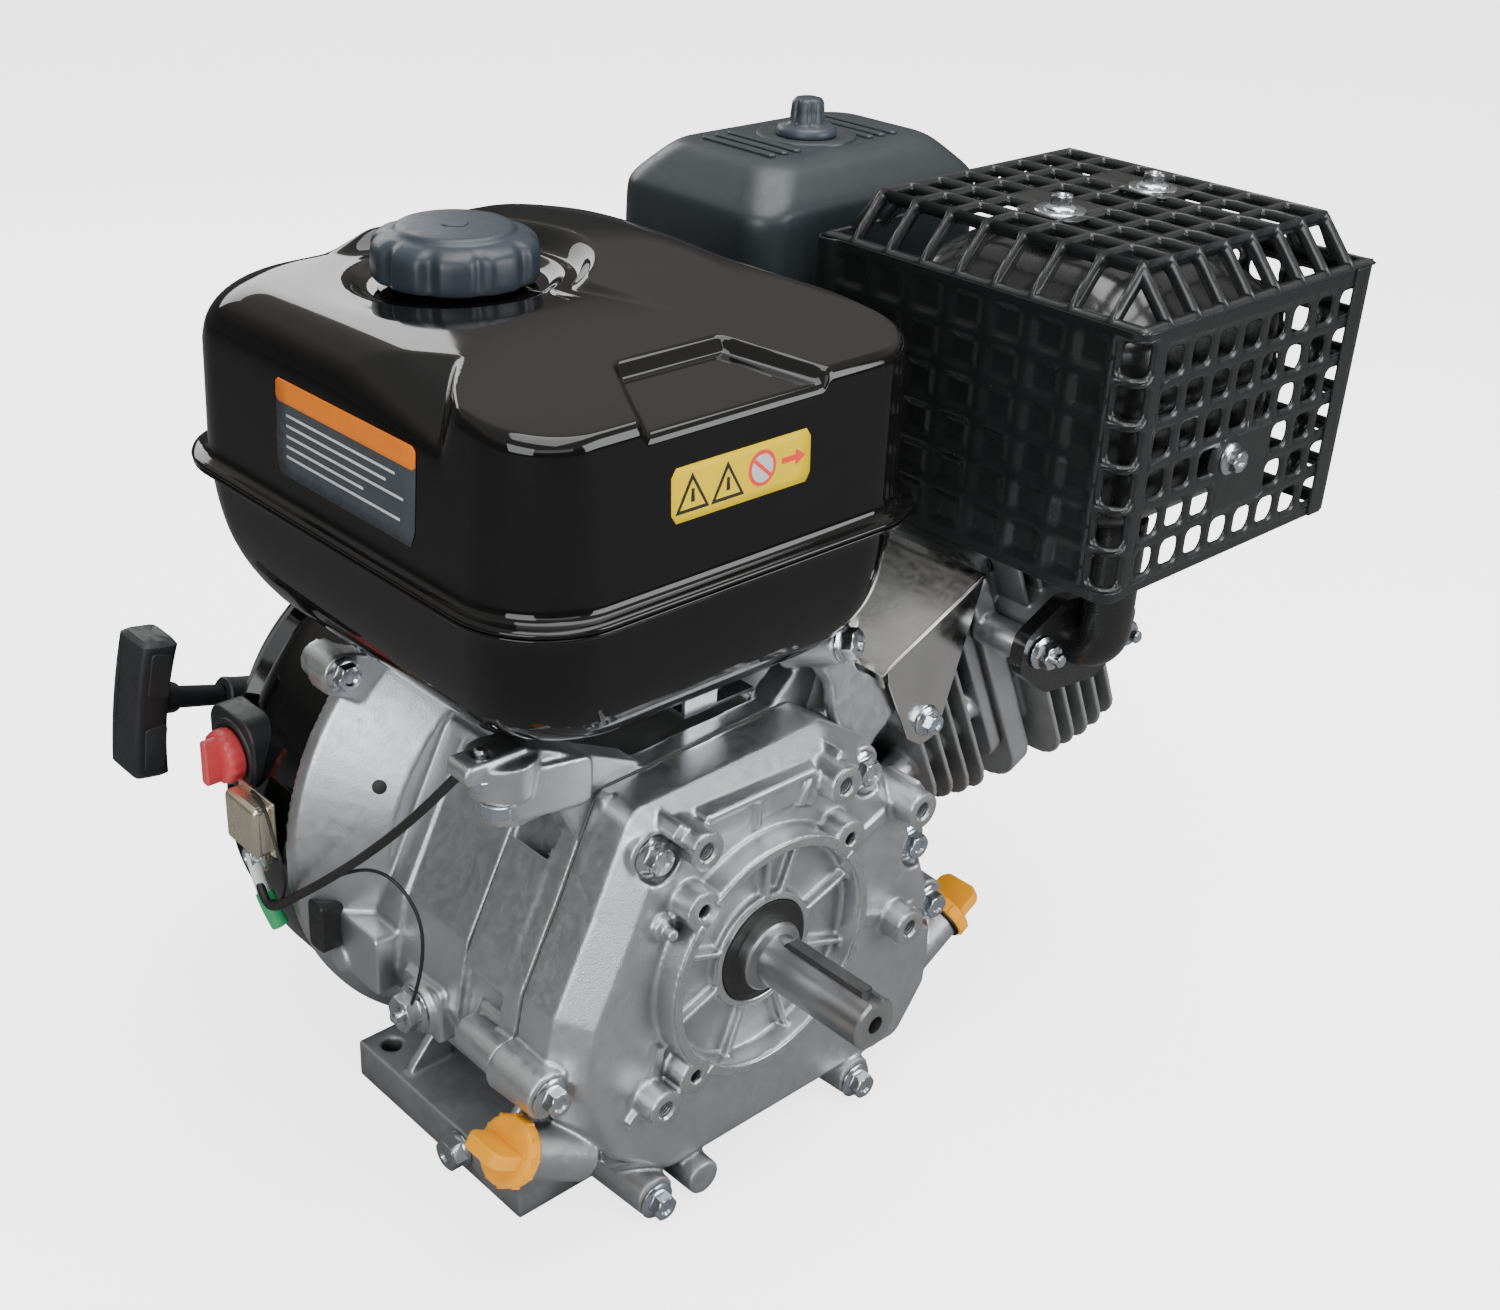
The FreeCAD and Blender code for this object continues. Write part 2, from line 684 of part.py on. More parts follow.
@part
def piston_rings():
    rings = []
    for start, width in RINGS:
        near = TOP + start
        gap = box_out(near - 1, near + width + 1, MID_Y - 0.4, MID_Y + 0.4, 30, 50)
        rings.append(piston_band("bore_dia/2-0.02", "bore_dia/2-3", near, width, gap))
    return group(*rings)


@part
def piston_pin():
    return ring(PISTON_PIN, 10.0, 6.0, MID_Y - 40, 80)


@part
def connecting_rod():
    rod = fuse(bar(CRANKPIN, 25, MID_Y - 13, 26), bar(PISTON_PIN, 15, MID_Y - 13, 26),
               box_out(Dim.stroke / 2, TOP, MID_Y - 6, MID_Y + 6, -9, 9))
    return cut(rod, bar(CRANKPIN, "pin_dia/2+0.05", MID_Y - 20, 40),
               bar(PISTON_PIN, 10.03, MID_Y - 20, 40))


# ------------------------------------------------------------------ cylinder head group
@part
def gasket_set():
    cover = cut(prism(CASE, CASE_CORNER, 1, plane_xz(51)),
                prism(inset(CASE, 7), 8, 3, plane_xz(52)))
    cover = cut(fuse(cover, *each(bar_y, BOLT_PAD, COVER_BOLTS, 50, 51)),
                *each(bar_y, 4.3, COVER_BOLTS, 49, 52))
    head = cut(prism(rect(-50, 80, 44, 176), 12, 1.4, plane_down_y(Dim.deck_s + 0.05)),
               bore_bar("bore_dia/2+0.6", 190, 205),
               *each(bar_out, 5.3, HEAD_BOLTS, 190, 205),
               *each(bar_out, 6, PUSHRODS, 190, 205))
    return group(cover, head)


@part
def cylinder_head():
    head = fuse(
        prism(rect(-50, 112, 38, 178), [14, 30, 30, 14], 13.5, plane_down_y(199.5)),
        prism(rect(-48.5, 80, 46, 174), 9, Dim.head_top - 213, plane_down_y(213)),
        *fins(223, (106, 110, 114, 116, 116), 26, 178, [10, 22, 22, 10]),
        bar(PORT, 22, 12, 44),
        bar(PORT, 24, 152, 30),
        *[bar(stud, 8.5, 12, length) for stud, length in zip(EXHAUST_STUDS, (36, 29))])
    return cut(
        head, bore_bar("bore_dia/2-1", 198, 207),
        # valve pockets, guides, ports and spring seats
        *each(bar_out, 15, VALVES, 206, 236),
        *each(bar_out, 3.6, VALVES, 230, 280),
        bar(PORT, 12.6, 6, 86),
        bar(PORT, 12.6, 132, 56),
        *each(bar_out, 13, VALVES, 262, 280),
        # head bolts with head recesses, pushrods, rocker studs
        *each(bar_out, 5.3, HEAD_BOLTS, 190, 300),
        *each(bar_out, 9.5, HEAD_BOLTS, 222, 300),
        *each(bar_out, 6, PUSHRODS, 190, 300),
        *each(bar_out, 4.02, ROCKER_STUDS, 255, 280),
        # spark plug thread and its clearance, exhaust studs
        bar(PLUG, 7.05, -6, 40),
        bar(PLUG, 12.2, 22, 90),
        *[bar(stud, 3.6, 8, length) for stud, length in zip(EXHAUST_STUDS, (34, 32))])


@part
def head_bolts():
    return group(*[screw((tilted(222.1, y, down), -OUT), 0, 68, across_flats=14, radius=4.9,
                         head=8, flange=8.8) for y, down in HEAD_BOLTS])


@part
def spark_plug():
    return fuse(bar(PLUG, 7.0, -2, 24), hex_bar(PLUG, 18, 22.2, 12), bar(PLUG, 5.5, 30, 30))


@part
def rocker_cover():
    return cut(prism(rect(-34, 76, 61, 159), 12, 29, plane_down_y(275.2)),
               prism(rect(-31, 73, 64, 156), 9, 28, plane_down_y(273)))


@part
def valves():
    stems = [fuse(bar_out(16.6, *spot, 204.4, 206.9), bar_out(3.5, *spot, 204.4, 288.9))
             for spot in VALVES]
    retainers = [ring((tilted(0, *spot), OUT), 11, 3.52, 285.2, 3) for spot in VALVES]
    return group(*stems, *retainers)


@part
def valve_springs():
    near, far, coil_radius, wire_radius = 262.5, 284.9, 8.6, 1.2
    coils, per_turn = 4, 12
    steps = coils * per_turn
    rise = (far - near - 2 * wire_radius) / steps
    springs = []
    for y, down in VALVES:
        points = []
        for i in range(steps + 1):
            angle = 2 * math.pi * i / per_turn
            points.append(tilted(near + wire_radius + rise * i,
                                 y + coil_radius * math.sin(angle),
                                 down + coil_radius * math.cos(angle)))
        springs.append(tube(points, wire_radius))
    return feature(Part.makeCompound(springs))


@part
def rocker_arms():
    arms, pivots = [], []
    for (stud_y, stud_down), (rod_y, _) in zip(ROCKER_STUDS, PUSHRODS):
        beam = cut(box_out(289.0, 295.0, stud_y - 5, stud_y + 5, -4, 50),
                   bar_out(4.05, stud_y, stud_down, 285, 305))
        foot = box_out(289.4, 295.0, min(stud_y, rod_y) - 4, max(stud_y, rod_y) + 4, 42, 70)
        arms.append(fuse(beam, foot))
        pivots.append(fuse(bar_out(4.0, stud_y, stud_down, 256, 297),
                           bar_out(6.5, stud_y, stud_down, 295.1, 299)))
    return group(*arms, *pivots)


@part
def pushrods():
    return group(*each(bar_out, 3.0, PUSHRODS, 62.1, 289.3))


@part
def valve_lifters():
    return group(*[fuse(bar_out(10.5, *spot, 33.2, 36.2), bar_out(7.0, *spot, 36, 62))
                   for spot in PUSHRODS])


# ------------------------------------------------------------------ exhaust, guard, shield
PLATE_FRONT = 4.1                      # front face of the exhaust flange plate
BEND_RADIUS = 13.6
RISER_Y = PLATE_FRONT - BEND_RADIUS    # the pipe's vertical run


def elbow(radius, start_y, end_z):
    """Short straight run forwards, quarter bend, straight rise."""
    slant = math.sin(math.pi / 4)
    start = Vec(PORT_X, start_y, PORT_Z)
    bend_start = Vec(PORT_X, PLATE_FRONT, PORT_Z)
    bend_middle = Vec(PORT_X, PLATE_FRONT - BEND_RADIUS * slant,
                      PORT_Z + BEND_RADIUS * (1 - slant))
    bend_end = Vec(PORT_X, RISER_Y, PORT_Z + BEND_RADIUS)
    path = Part.Wire([Part.makeLine(start, bend_start),
                      Part.Arc(bend_start, bend_middle, bend_end).toShape(),
                      Part.makeLine(bend_end, Vec(PORT_X, RISER_Y, end_z))])
    return feature(swept(path, radius, start, Y))


@part
def exhaust_pipe():
    profile = [(-46, -9), (-46, 9), (-20, 25), (20, 25), (46, 9), (46, -9), (20, -25), (-20, -25)]
    plate = prism(profile, 9, 7.8,
                  frame(PORT[0] + Y * (PLATE_FRONT + 7.8), PORT_SIDE, Vec(0.109, 0, 0.994)))
    return cut(fuse(plate, elbow(12.6, 8.0, 168)), elbow(10.6, 13.0, 169),
               *[bar(stud, 3.9, 0, 16) for stud in EXHAUST_STUDS])


@part
def exhaust_nuts():
    return group(*[fuse(bar(stud, 3.5, -4, 42), bar(stud, 8.5, 2.4, 1.6),
                        hex_bar(stud, 12, -4, 6.5)) for stud in EXHAUST_STUDS])


@part
def muffler_body():
    left, right, front, back, bottom, top = 168, 302, -31, 122, 168.1, 290
    chamfer, wall = 26, 1.6

    def profile(inward):
        return [(left + inward, bottom + inward), (right - inward, bottom + inward),
                (right - inward, top - chamfer), (right - chamfer, top - inward),
                (left + chamfer, top - inward), (left + inward, top - chamfer)]

    shell = cut(prism(profile(0), 8, back - front, plane_xz(back)),
                prism(profile(wall), 7, back - front - 2 * wall, plane_xz(back - wall)))
    shell = cut(shell, bar_z(10.6, PORT_X, RISER_Y, 166, 171), bar(OUTLET, 9, 296, 12))
    return fuse(shell, ring(OUTLET, 11, 9, 301, 20))


@part
def muffler_guard():
    left, right, front, back = Dim.guard_left, Dim.guard_right, Dim.guard_front, Dim.guard_back
    bottom, top, wall = Dim.guard_bottom, Dim.guard_top, Dim.guard_sheet
    outside = [(left, bottom), (right, bottom), (right, 276), (right - 18, top),
               (left + 22, top), (left, 272)]
    inside = [(left + wall, bottom - 5), (right - wall, bottom - 5), (right - wall, 275.2),
              (right - 18.8, top - wall), (left + 22.8, top - wall), (left + wall, 271.2)]
    shell = prism(outside, [0, 0, 6, 6, 6, 6], back - front, plane_xz(back))
    # open below and at the back
    hollow = prism(inside, [0, 0, 5, 5, 5, 5], back - front - wall + 5, plane_xz(back + 5))
    holes = []
    for i in range(8):        # front, with four left out around the screw
        for j in range(6):
            if i in (4, 5) and j in (2, 3):
                continue
            x, z = left + 14 + i * 20.4, bottom + 10 + j * 19.6
            holes.append(box(x, x + 12, front - 2, front + 6, z, z + 13))
    for j in range(6):        # left side, one column
        z = bottom + 10 + j * 19.6
        holes.append(box(left - 3, left + 5, front + 12, front + 24, z, z + 13))
    for i in range(7):        # top
        for j in range(6):
            if i in (1, 5) and j in (2, 3):
                continue
            x, y = left + 32 + i * 18.6, front + 14 + j * 29
            holes.append(box(x, x + 11, y, y + 20, top - 8, top + 4))
    for i in range(8):        # right side
        for j in range(5):
            y, z = front + 14 + i * 22, bottom + 12 + j * 21
            holes.append(box(right - 5, right + 3, y, y + 14, z, z + 13))
    return cut(shell, hollow, *holes, *each(bar_z, 3.4, GUARD_TOP_SCREWS, 290, 305),
               bar(GUARD_SCREW, 3.4, -45, 15))


@part
def heat_shield():
    profile = [(128, -54), (206, -54), (206, -50), (158, 8), (150, 12), (140, 10), (134, 0),
               (128, -40)]
    shield = fuse(box_out(128, 206, 31, 132, -54.0, -52.8),
                  prism(profile, [0, 0, 2, 6, 5, 5, 6, 2], 1.2, plane_out_down(31)))
    return cut(shield, bar(SHIELD_SCREW, 3.6, 28, 10))


# ------------------------------------------------------------------ fuel tank
# Levels of a lofted shell: x0, x1, y0, y1, z, corner radius
UPPER_LEVELS = [
    (-135, 94, 12, 275, Dim.tank_seam_z + 0.05, 42),
    (-132, 91, 14, 272, 262, 44),
    (-122, 81, 24, 262, 280, 50),
    (-102, 61, 44, 242, 286, 50),
]
LOWER_LEVELS = [
    (-108, 68, 36, 160, 131, 40),
    (-122, 82, 24, 196, 146, 44),
    (-131, 90, 15, 244, 170, 44),
    (-135, 94, 12, 275, Dim.tank_seam_z - 0.05, 42),
]


def rect_wire(x0, x1, y0, y1, z, radius):
    wire = outline_wire(rect(x0, x1, y0, y1), radius)
    wire.translate(Vec(0, 0, z))
    return wire


def loft(levels, inward=0):
    """Solid through the levels, each drawn in by inward."""
    wires = [rect_wire(x0 + inward, x1 - inward, y0 + inward, y1 - inward, z,
                       max(radius - inward, 2)) for x0, x1, y0, y1, z, radius in levels]
    return Part.makeLoft(wires, True, True)


def tank_shell(levels, shifts):
    """Hollow loft; the cavity's levels are moved up by shifts."""
    cavity = [(*level[:4], level[4] + shift, level[5]) for level, shift in zip(levels, shifts)]
    return loft(levels).cut(loft(cavity, Dim.tank_wall))


def tank_rim(z):
    hole = Part.Face(rect_wire(-134, 93, 13, 274, z - 3, 42)).extrude(Vec(0, 0, 8))
    return Part.Face(rect_wire(-142, 102, 4, 282, z, 48)).extrude(Vec(0, 0, 2)).cut(hole)


def disc(radius, height, spot, z):
    return Part.makeCylinder(radius, height, Vec(*spot, z), Z)


@part
def fuel_tank_upper():
    shell = tank_shell(UPPER_LEVELS, (-0.55, -1, -1.6, -1.6))
    outside = loft(UPPER_LEVELS)
    # sunken bowl around the filler neck
    floor = disc(49, 2, CAP_SPOT, 277).common(outside)
    wall = disc(49.5, 12, CAP_SPOT, 277).cut(disc(48, 14, CAP_SPOT, 276)).common(outside)
    neck = disc(30, 24, CAP_SPOT, 268)
    shell = shell.fuse(tank_rim(Dim.tank_seam_z + 0.05)).cut(disc(48, 30, CAP_SPOT, 279))
    shell = shell.fuse([floor, wall, neck]).cut(disc(28, 60, CAP_SPOT, 250))
    return feature(shell.removeSplitter())


@part
def fuel_tank_lower():
    shell = tank_shell(LOWER_LEVELS, (Dim.tank_wall, 0, 0, 1))
    outside = loft(LOWER_LEVELS)
    tabs = []
    for x, length, step_x in ((-136, 40, -108), (56, 44, 56)):
        blank = Part.makeBox(length, 26, 16, Vec(x, 46, 127))
        step = blank.common(Part.makeBox(12, 26, 8, Vec(step_x, 46, 127)))
        plate = blank.cut(Part.makeBox(60, 60, 20, Vec(x - 5, 40, 131)))
        tabs.append(plate.fuse(step).cut(outside))
    posts = []
    for spot in TANK_REAR:    # only the piece below the tank is kept
        pieces = disc(8, 30, spot, 141).cut(outside).Solids
        posts.append(min(pieces, key=lambda solid: solid.CenterOfMass.z))
    shell = shell.fuse([tank_rim(Dim.tank_seam_z - 2.05)] + tabs + posts)
    for spot in TANK_FRONT:
        shell = shell.cut(disc(4.2, 6, spot, 126))
    for spot in TANK_REAR:
        shell = shell.cut(disc(4.1, 12, spot, 140))
    return feature(shell.removeSplitter())


@part
def flange_bolts():
    """Cover screws, front tank screws and rear tank studs."""
    return group(*[screw((Vec(x, 0, z), Y), 20, 48) for x, z in UPPER_BOLTS],
                 *[screw((Vec(x, 0, z), Y), 10, 56) for x, z in LOWER_BOLTS],
                 *[screw((Vec(x, y, 0), Z), 117.4, 13, radius=4.0) for x, y in TANK_FRONT],
                 *each(bar_z, 4.0, TANK_REAR, 129, 151.5))


@part
def fuel_strainer():
    slots = [bar((Vec(*CAP_SPOT, z), Vec(math.cos(angle), math.sin(angle), 0)), 3, -35, 70)
             for angle in (0, 0.785, 1.571, 2.356) for z in (234, 244, 254)]
    return cut(bar_z(27.6, *CAP_SPOT, 225, 291.9), bar_z(26.9, *CAP_SPOT, 226, 300), *slots)


@part
def fuel_cap():
    grips = circle_spots(31, turns(10), *CAP_SPOT)
    cap = fuse(bar_z("cap_dia/2-2", *CAP_SPOT, 282.3, 306.5), *each(bar_z, 9, grips, 283, 304))
    return fuse(cut(cap, bar_z(30.6, *CAP_SPOT, 280, 293)), bar_z(26, *CAP_SPOT, 286, 294))


# ------------------------------------------------------------------ intake
@part
def carburetor():
    flanges = [box(PORT_X - 34, PORT_X + 34, y, y + 6, PORT_Z - 20, PORT_Z + 20)
               for y in (188, 226)]
    body = fuse(bar(PORT, 22, 188, 44), bar_z(20, PORT_X, 210, PORT_Z - 46, PORT_Z), *flanges)
    return cut(body, bar(PORT, 12, 180, 60),
               bar_z(3.1, PORT_X + 12, 222, PORT_Z + 8, PORT_Z + 30),
               bar_z(3.1, PORT_X - 10, 200, PORT_Z + 8, PORT_Z + 30),
               bar((Vec(PORT_X, 210, PORT_Z - 30), X), 4.1, -40, 20))


@part
def carb_insulator():
    return cut(box(PORT_X - 30, PORT_X + 30, 182.1, 187.9, PORT_Z - 24, PORT_Z + 24),
               bar(PORT, 13, 178, 20))


@part
def air_cleaner_base():
    tray = rect(Dim.cleaner_left + 4, Dim.cleaner_right - 4,
                Dim.cleaner_front + 4, Dim.cleaner_back - 4)
    base = fuse(bar(PORT, 21.3, 232.1, 18), bar_z(22, PORT_X, 254.6, PORT_Z - 22, 188),
                prism(tray, 20, 6, plane_xy(184)))
    base = cut(base, bar(PORT, 17.4, 230, 18), bar_z(18, PORT_X, 254.6, PORT_Z - 19, 195))
    post = cut(bar_z(6, *KNOB_SPOT, 189, 297.9), bar_z(3.2, *KNOB_SPOT, 280, 299))
    return fuse(base, post)


@part
def air_filter_element():
    return cut(prism(rect(152, 278, 182, 262), 20, 70, plane_xy(200)),
               prism(rect(166, 264, 196, 248), 12, 80, plane_xy(195)))


@part
def air_cleaner_cover():
    def hood(inward, top):
        sides = (Dim.cleaner_left, Dim.cleaner_right, Dim.cleaner_front, Dim.cleaner_back)
        low = (*sides, Dim.cleaner_bottom, 34)
        shoulder = (*sides, 286, 34)
        crown = (152, 280, 184, 262, top, 26)
        return loft([low, shoulder], inward).fuse(loft([shoulder, crown], inward))

    cavity = hood(2.2, Dim.cleaner_top - 1.0)
    cavity.translate(Vec(0, 0, -1.4))
    cover = hood(0, Dim.cleaner_top).cut(cavity).cut(disc(4.2, 20, KNOB_SPOT, 296))
    return feature(cover.removeSplitter())


@part
def air_cleaner_knob():
    return fuse(bar_z("knob_dia/2", *KNOB_SPOT, 305.1, 311),
                prism(rect(208, 222, 215.5, 226.5), 3, 14, plane_xy(311)),
                bar_z(3.1, *KNOB_SPOT, 284, 308))


@part
def choke_lever():
    return fuse(bar_z(3.0, PORT_X + 12, 222, PORT_Z + 9, PORT_Z + 28),
                prism(rect(PORT_X + 8, PORT_X + 58, 218, 226), 3.5, 2.5, plane_xy(PORT_Z + 25)))


@part
def fuel_valve_lever():
    return fuse(bar((Vec(PORT_X, 210, PORT_Z - 30), X), 4.0, -34, 14),
                prism(rect(204, 216, PORT_Z - 34, PORT_Z - 6), 5, 4, plane_yz(PORT_X - 38)))


# ------------------------------------------------------------------ fan cover, starter
RECOIL_SCREWS = circle_spots(104.2, (0.5, 2.07, 3.64, 5.21))


@part
def fan_cover():
    cover = fuse(bar(FAN, "fan_cover_dia/2", 200.1, "fan_cover_depth"),
                 box_out(60, 176, 200.1, 262, -62, 62))
    cover = cut(cover, bar(FAN, "fan_cover_dia/2-2", 200, "fan_cover_depth-2"),
                box_out(50, 174, 199, 260, -60, 60),
                bar(CRANK, 86, 280, 10),
                box(-150, 200, 195, 290, -150, -130))
    # three slanted slots in the back face, upper left
    slot = [(70, 98), (96, 80), (98, 84), (72, 102)]
    cover = cut(cover, *[prism([(x + 6 * k, z - 7 * k) for x, z in slot], 1.5, 12,
                               frame(Vec(0, 278, 0), -X, Z)) for k in range(3)])
    return cut(cover, bar_y(3.3, *BELL_HOLES[0], 198, 204), bar(SWITCH, 9.2, -12, 34),
               *each(bar_y, 2.7, RECOIL_SCREWS, 280, 290))


@part
def recoil_housing():
    profile = [(284.2, 84), (284.2, 110), (286.4, 110), (286.4, Dim.recoil_dia / 2), (300, 94),
               (322, 82), (330, 70), (330, 0), (328, 0), (328, 69), (320, 80), (299, 91.5),
               (286.4, 92), (286.4, 84)]
    housing = fuse(turned(profile), bar(CRANK, 9, 300, 28.5), bar(ROPE, 9, 0, 26))
    window = [(40, -4.5), (76, -7.5), (76, 7.5), (40, 4.5)]
    return cut(housing, *each(bar_y, 2.7, RECOIL_SCREWS, 280, 290),
               bar((Vec(-62, 302, 31), ROPE[1]), 4.0, 0, 60),
               *[prism(window, 3, 20, plane_xz(336, angle)) for angle in turns(10, 0.5)])


@part
def recoil_reel():
    return cut(fuse(bar(CRANK, 66, 290, 3), bar(CRANK, 52, 290, 16), bar(CRANK, 66, 303, 3)),
               bar(CRANK, 9.06, 280, 40),
               *each(bar_y, 9, circle_spots(30, (0, 2.09, 4.19)), 280, 320))


@part
def starter_rope():
    return bar(ROPE, 2.4, 0, 54)


@part
def starter_handle():
    point, direction = ROPE
    across = Vec(0.277, 0, 0.96)
    across.normalize()
    half = Dim.handle_length / 2
    grip = prism(rect(-half, half, -12, 12), 7, 15,
                 frame(point + direction * 66.2, across, direction.cross(across)))
    return fuse(grip, bar(ROPE, 8, 54.2, 14))


@part
def ignition_coil():
    return fuse(prism(rect(-14, 14, 108, 128), 3, 24, plane_xz(238)),
                box(-11, 11, 216, 236, 105.2, 110))


@part
def sheet_metal_screws():
    """Screws of the guard, heat shield and recoil housing, with spacer rings."""
    small = dict(across_flats=10, radius=3.0, head=4.5, flange=8)
    top = Dim.guard_top
    ring_top = top - Dim.guard_sheet - 0.05
    ring_front = Dim.guard_front + Dim.guard_sheet + 0.05
    pieces = []
    for x, y in GUARD_TOP_SCREWS:
        pieces.append(fuse(screw((Vec(x, y, top), -Z), 0, 9, **small),
                           ring((Vec(x, y, 0), Z), 6, 3.05, 290.05, ring_top - 290.05)))
    return group(
        *pieces,
        screw(GUARD_SCREW, Dim.guard_front, 8, **small),
        ring(GUARD_SCREW, 6, 3.05, ring_front, -31.05 - ring_front),
        screw(SHIELD_SCREW, 31, 15, across_flats=10, radius=3.5, head=5, flange=8),
        ring(SHIELD_SCREW, 8, 3.55, 32.25, 3.7),
        *[screw((Vec(x, 286.4, z), -Y), 0, 5, across_flats=8, radius=2.5, head=4, flange=5.0)
          for x, z in RECOIL_SCREWS])


# ------------------------------------------------------------------ switches, dipsticks, control
@part
def switch_housing():
    body = fuse(prism(rect(230, 272, 26, 64), 12, 19, plane_yz(-133)), bar(SWITCH, 9, 0, 14))
    fan_side = common(bar(FAN, 134.2, 198, 90), box(-138.5, 0, 190, 300, -60, 90))
    return cut(body, fan_side, bar(SWITCH, 6.1, -3, 26))


@part
def switch_knob():
    return fuse(bar(SWITCH, 14, -9.2, 9), bar(SWITCH, 6.0, -3, 20),
                prism(rect(247, 253, 29, 55), 2.5, 8, plane_yz(-150)))


@part
def oil_alert_unit():
    peg = cut(bar((Vec(-138.5, 221, 20), X), 4, 0, 6), bar(FAN, 134.05, 198, 90))
    return fuse(prism(rect(206, 235, 7, 35), 3, 11, plane_yz(-149)), peg)


@part
def wiring():
    """Wire down the left side, and the spark plug cap."""
    path = [(-143.5, 221, 4), (-146, 211, -14), (-145, 194, -28), (-137, 170, -14),
            (-126, 130, 20), (-122, 90, 56), (-114, 80, 84)]
    wire = feature(Part.makeCompound([tube([Vec(*point) for point in path], 2.2)]))
    plug_cap = cut(fuse(bar(PLUG, 9, 36, 44), bar(PLUG, 11, 50, 5), bar(PLUG, 7, 36, 60)),
                   bar(PLUG, 5.6, 34, 30))
    return group(wire, plug_cap)


@part
def oil_level_switch():
    return fuse(bar(LEVEL_SWITCH, 6.0, 0, 22), bar(LEVEL_SWITCH, 12, -2.5, 2.5),
                hex_bar(LEVEL_SWITCH, 17, -10.5, 8))


def dipstick(line):
    """Cap, plug, thin stick and flat grip; the cap sits at 14.1 along the line."""
    point, direction = line
    grip = prism([(-12, 0), (12, 0), (9, 17), (-9, 17)], [1, 1, 4, 4], 7,
                 frame(point + direction * 19.1 + Y * 3.5, direction.cross(Y), direction))
    return fuse(bar(line, 16, 14.1, 6.5), bar(line, 10.0, -1.9, 17),
                bar(line, 2.2, -37.9, 52), grip)


@part
def dipstick_left():
    return dipstick(DIPSTICK_LEFT)


@part
def dipstick_right():
    return dipstick(DIPSTICK_RIGHT)


@part
def control_bracket():
    return cut(fuse(box(0, 44, 67, 96, 96.2, 98.4), box(0, 20, 67, 69.2, 96.2, 112)),
               bar_z(3.1, 30, 84, 90, 100))


@part
def throttle_lever():
    arm = [(24, 78), (36, 78), (36, 90), (-20, 88), (-20, 80)]
    return fuse(bar_z(3.0, 30, 84, 90.5, 102), prism(arm, 3.5, 2, plane_xy(98.5)))


# ------------------------------------------------------------------ build, check, export
pieces = []
for build in BUILDERS:
    piece = build()
    piece.Label = build.__name__
    pieces.append(piece)
doc.recompute()

bad = [(item.Name, item.Label, item.State) for item in doc.Objects
       if "Invalid" in item.State or "Error" in item.State]
for piece in pieces:
    shape = piece.Shape
    if shape.isNull() or not shape.isValid() or shape.Volume <= 0:
        bad.append((piece.Label, "shape"))
assert not bad, bad

os.makedirs("parts", exist_ok=True)
for piece in pieces:
    piece.Shape.exportStep(f"parts/{piece.Label}.step")
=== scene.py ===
# Small single-cylinder petrol engine, lying in its frame as follows: Z up, front at -Y, left at -X.
# The crankshaft runs along Y through the origin, with its driving end at the front and the recoil
# starter at the rear. The cylinder leans to the right, 25 degrees above X. The fuel tank sits over
# the left, the muffler and air cleaner over the right.
# Lengths are millimetres until add_mesh turns them into metres.
import json
from contextlib import contextmanager
from math import acos, atan2, cos, degrees, hypot, pi, radians, sin, sqrt
import bmesh
import bpy
import numpy as np
from mathutils import Matrix, Vector

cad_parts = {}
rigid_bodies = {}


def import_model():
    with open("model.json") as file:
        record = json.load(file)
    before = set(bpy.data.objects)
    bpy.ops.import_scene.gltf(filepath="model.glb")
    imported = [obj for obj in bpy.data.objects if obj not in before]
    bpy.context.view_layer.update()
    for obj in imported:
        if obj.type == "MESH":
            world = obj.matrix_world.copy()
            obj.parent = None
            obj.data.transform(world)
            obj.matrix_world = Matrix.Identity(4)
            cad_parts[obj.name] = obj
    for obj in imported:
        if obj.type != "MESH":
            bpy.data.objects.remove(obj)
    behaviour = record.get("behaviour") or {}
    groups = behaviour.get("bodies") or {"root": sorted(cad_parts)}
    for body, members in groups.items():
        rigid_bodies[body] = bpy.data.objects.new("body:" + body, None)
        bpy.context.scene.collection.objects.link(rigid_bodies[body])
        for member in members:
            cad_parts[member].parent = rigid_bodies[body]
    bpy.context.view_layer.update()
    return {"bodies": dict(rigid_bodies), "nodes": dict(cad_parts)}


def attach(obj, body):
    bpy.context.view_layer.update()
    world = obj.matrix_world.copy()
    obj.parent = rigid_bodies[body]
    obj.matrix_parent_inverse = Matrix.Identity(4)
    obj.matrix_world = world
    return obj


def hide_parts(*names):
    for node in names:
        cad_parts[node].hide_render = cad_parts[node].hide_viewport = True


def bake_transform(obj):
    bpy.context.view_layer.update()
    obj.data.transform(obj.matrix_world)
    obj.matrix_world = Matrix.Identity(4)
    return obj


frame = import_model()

NODES = frame["nodes"]
MM = 0.001
X, Y, Z = Vector((1, 0, 0)), Vector((0, 1, 0)), Vector((0, 0, 1))
COS_LEAN, SIN_LEAN = cos(radians(25)), sin(radians(25))


def cyl(s, y, q):
    """Point in the leaning cylinder's frame: s along its axis, q square to it, down and right."""
    return Vector((s * COS_LEAN + q * SIN_LEAN, y, s * SIN_LEAN - q * COS_LEAN))


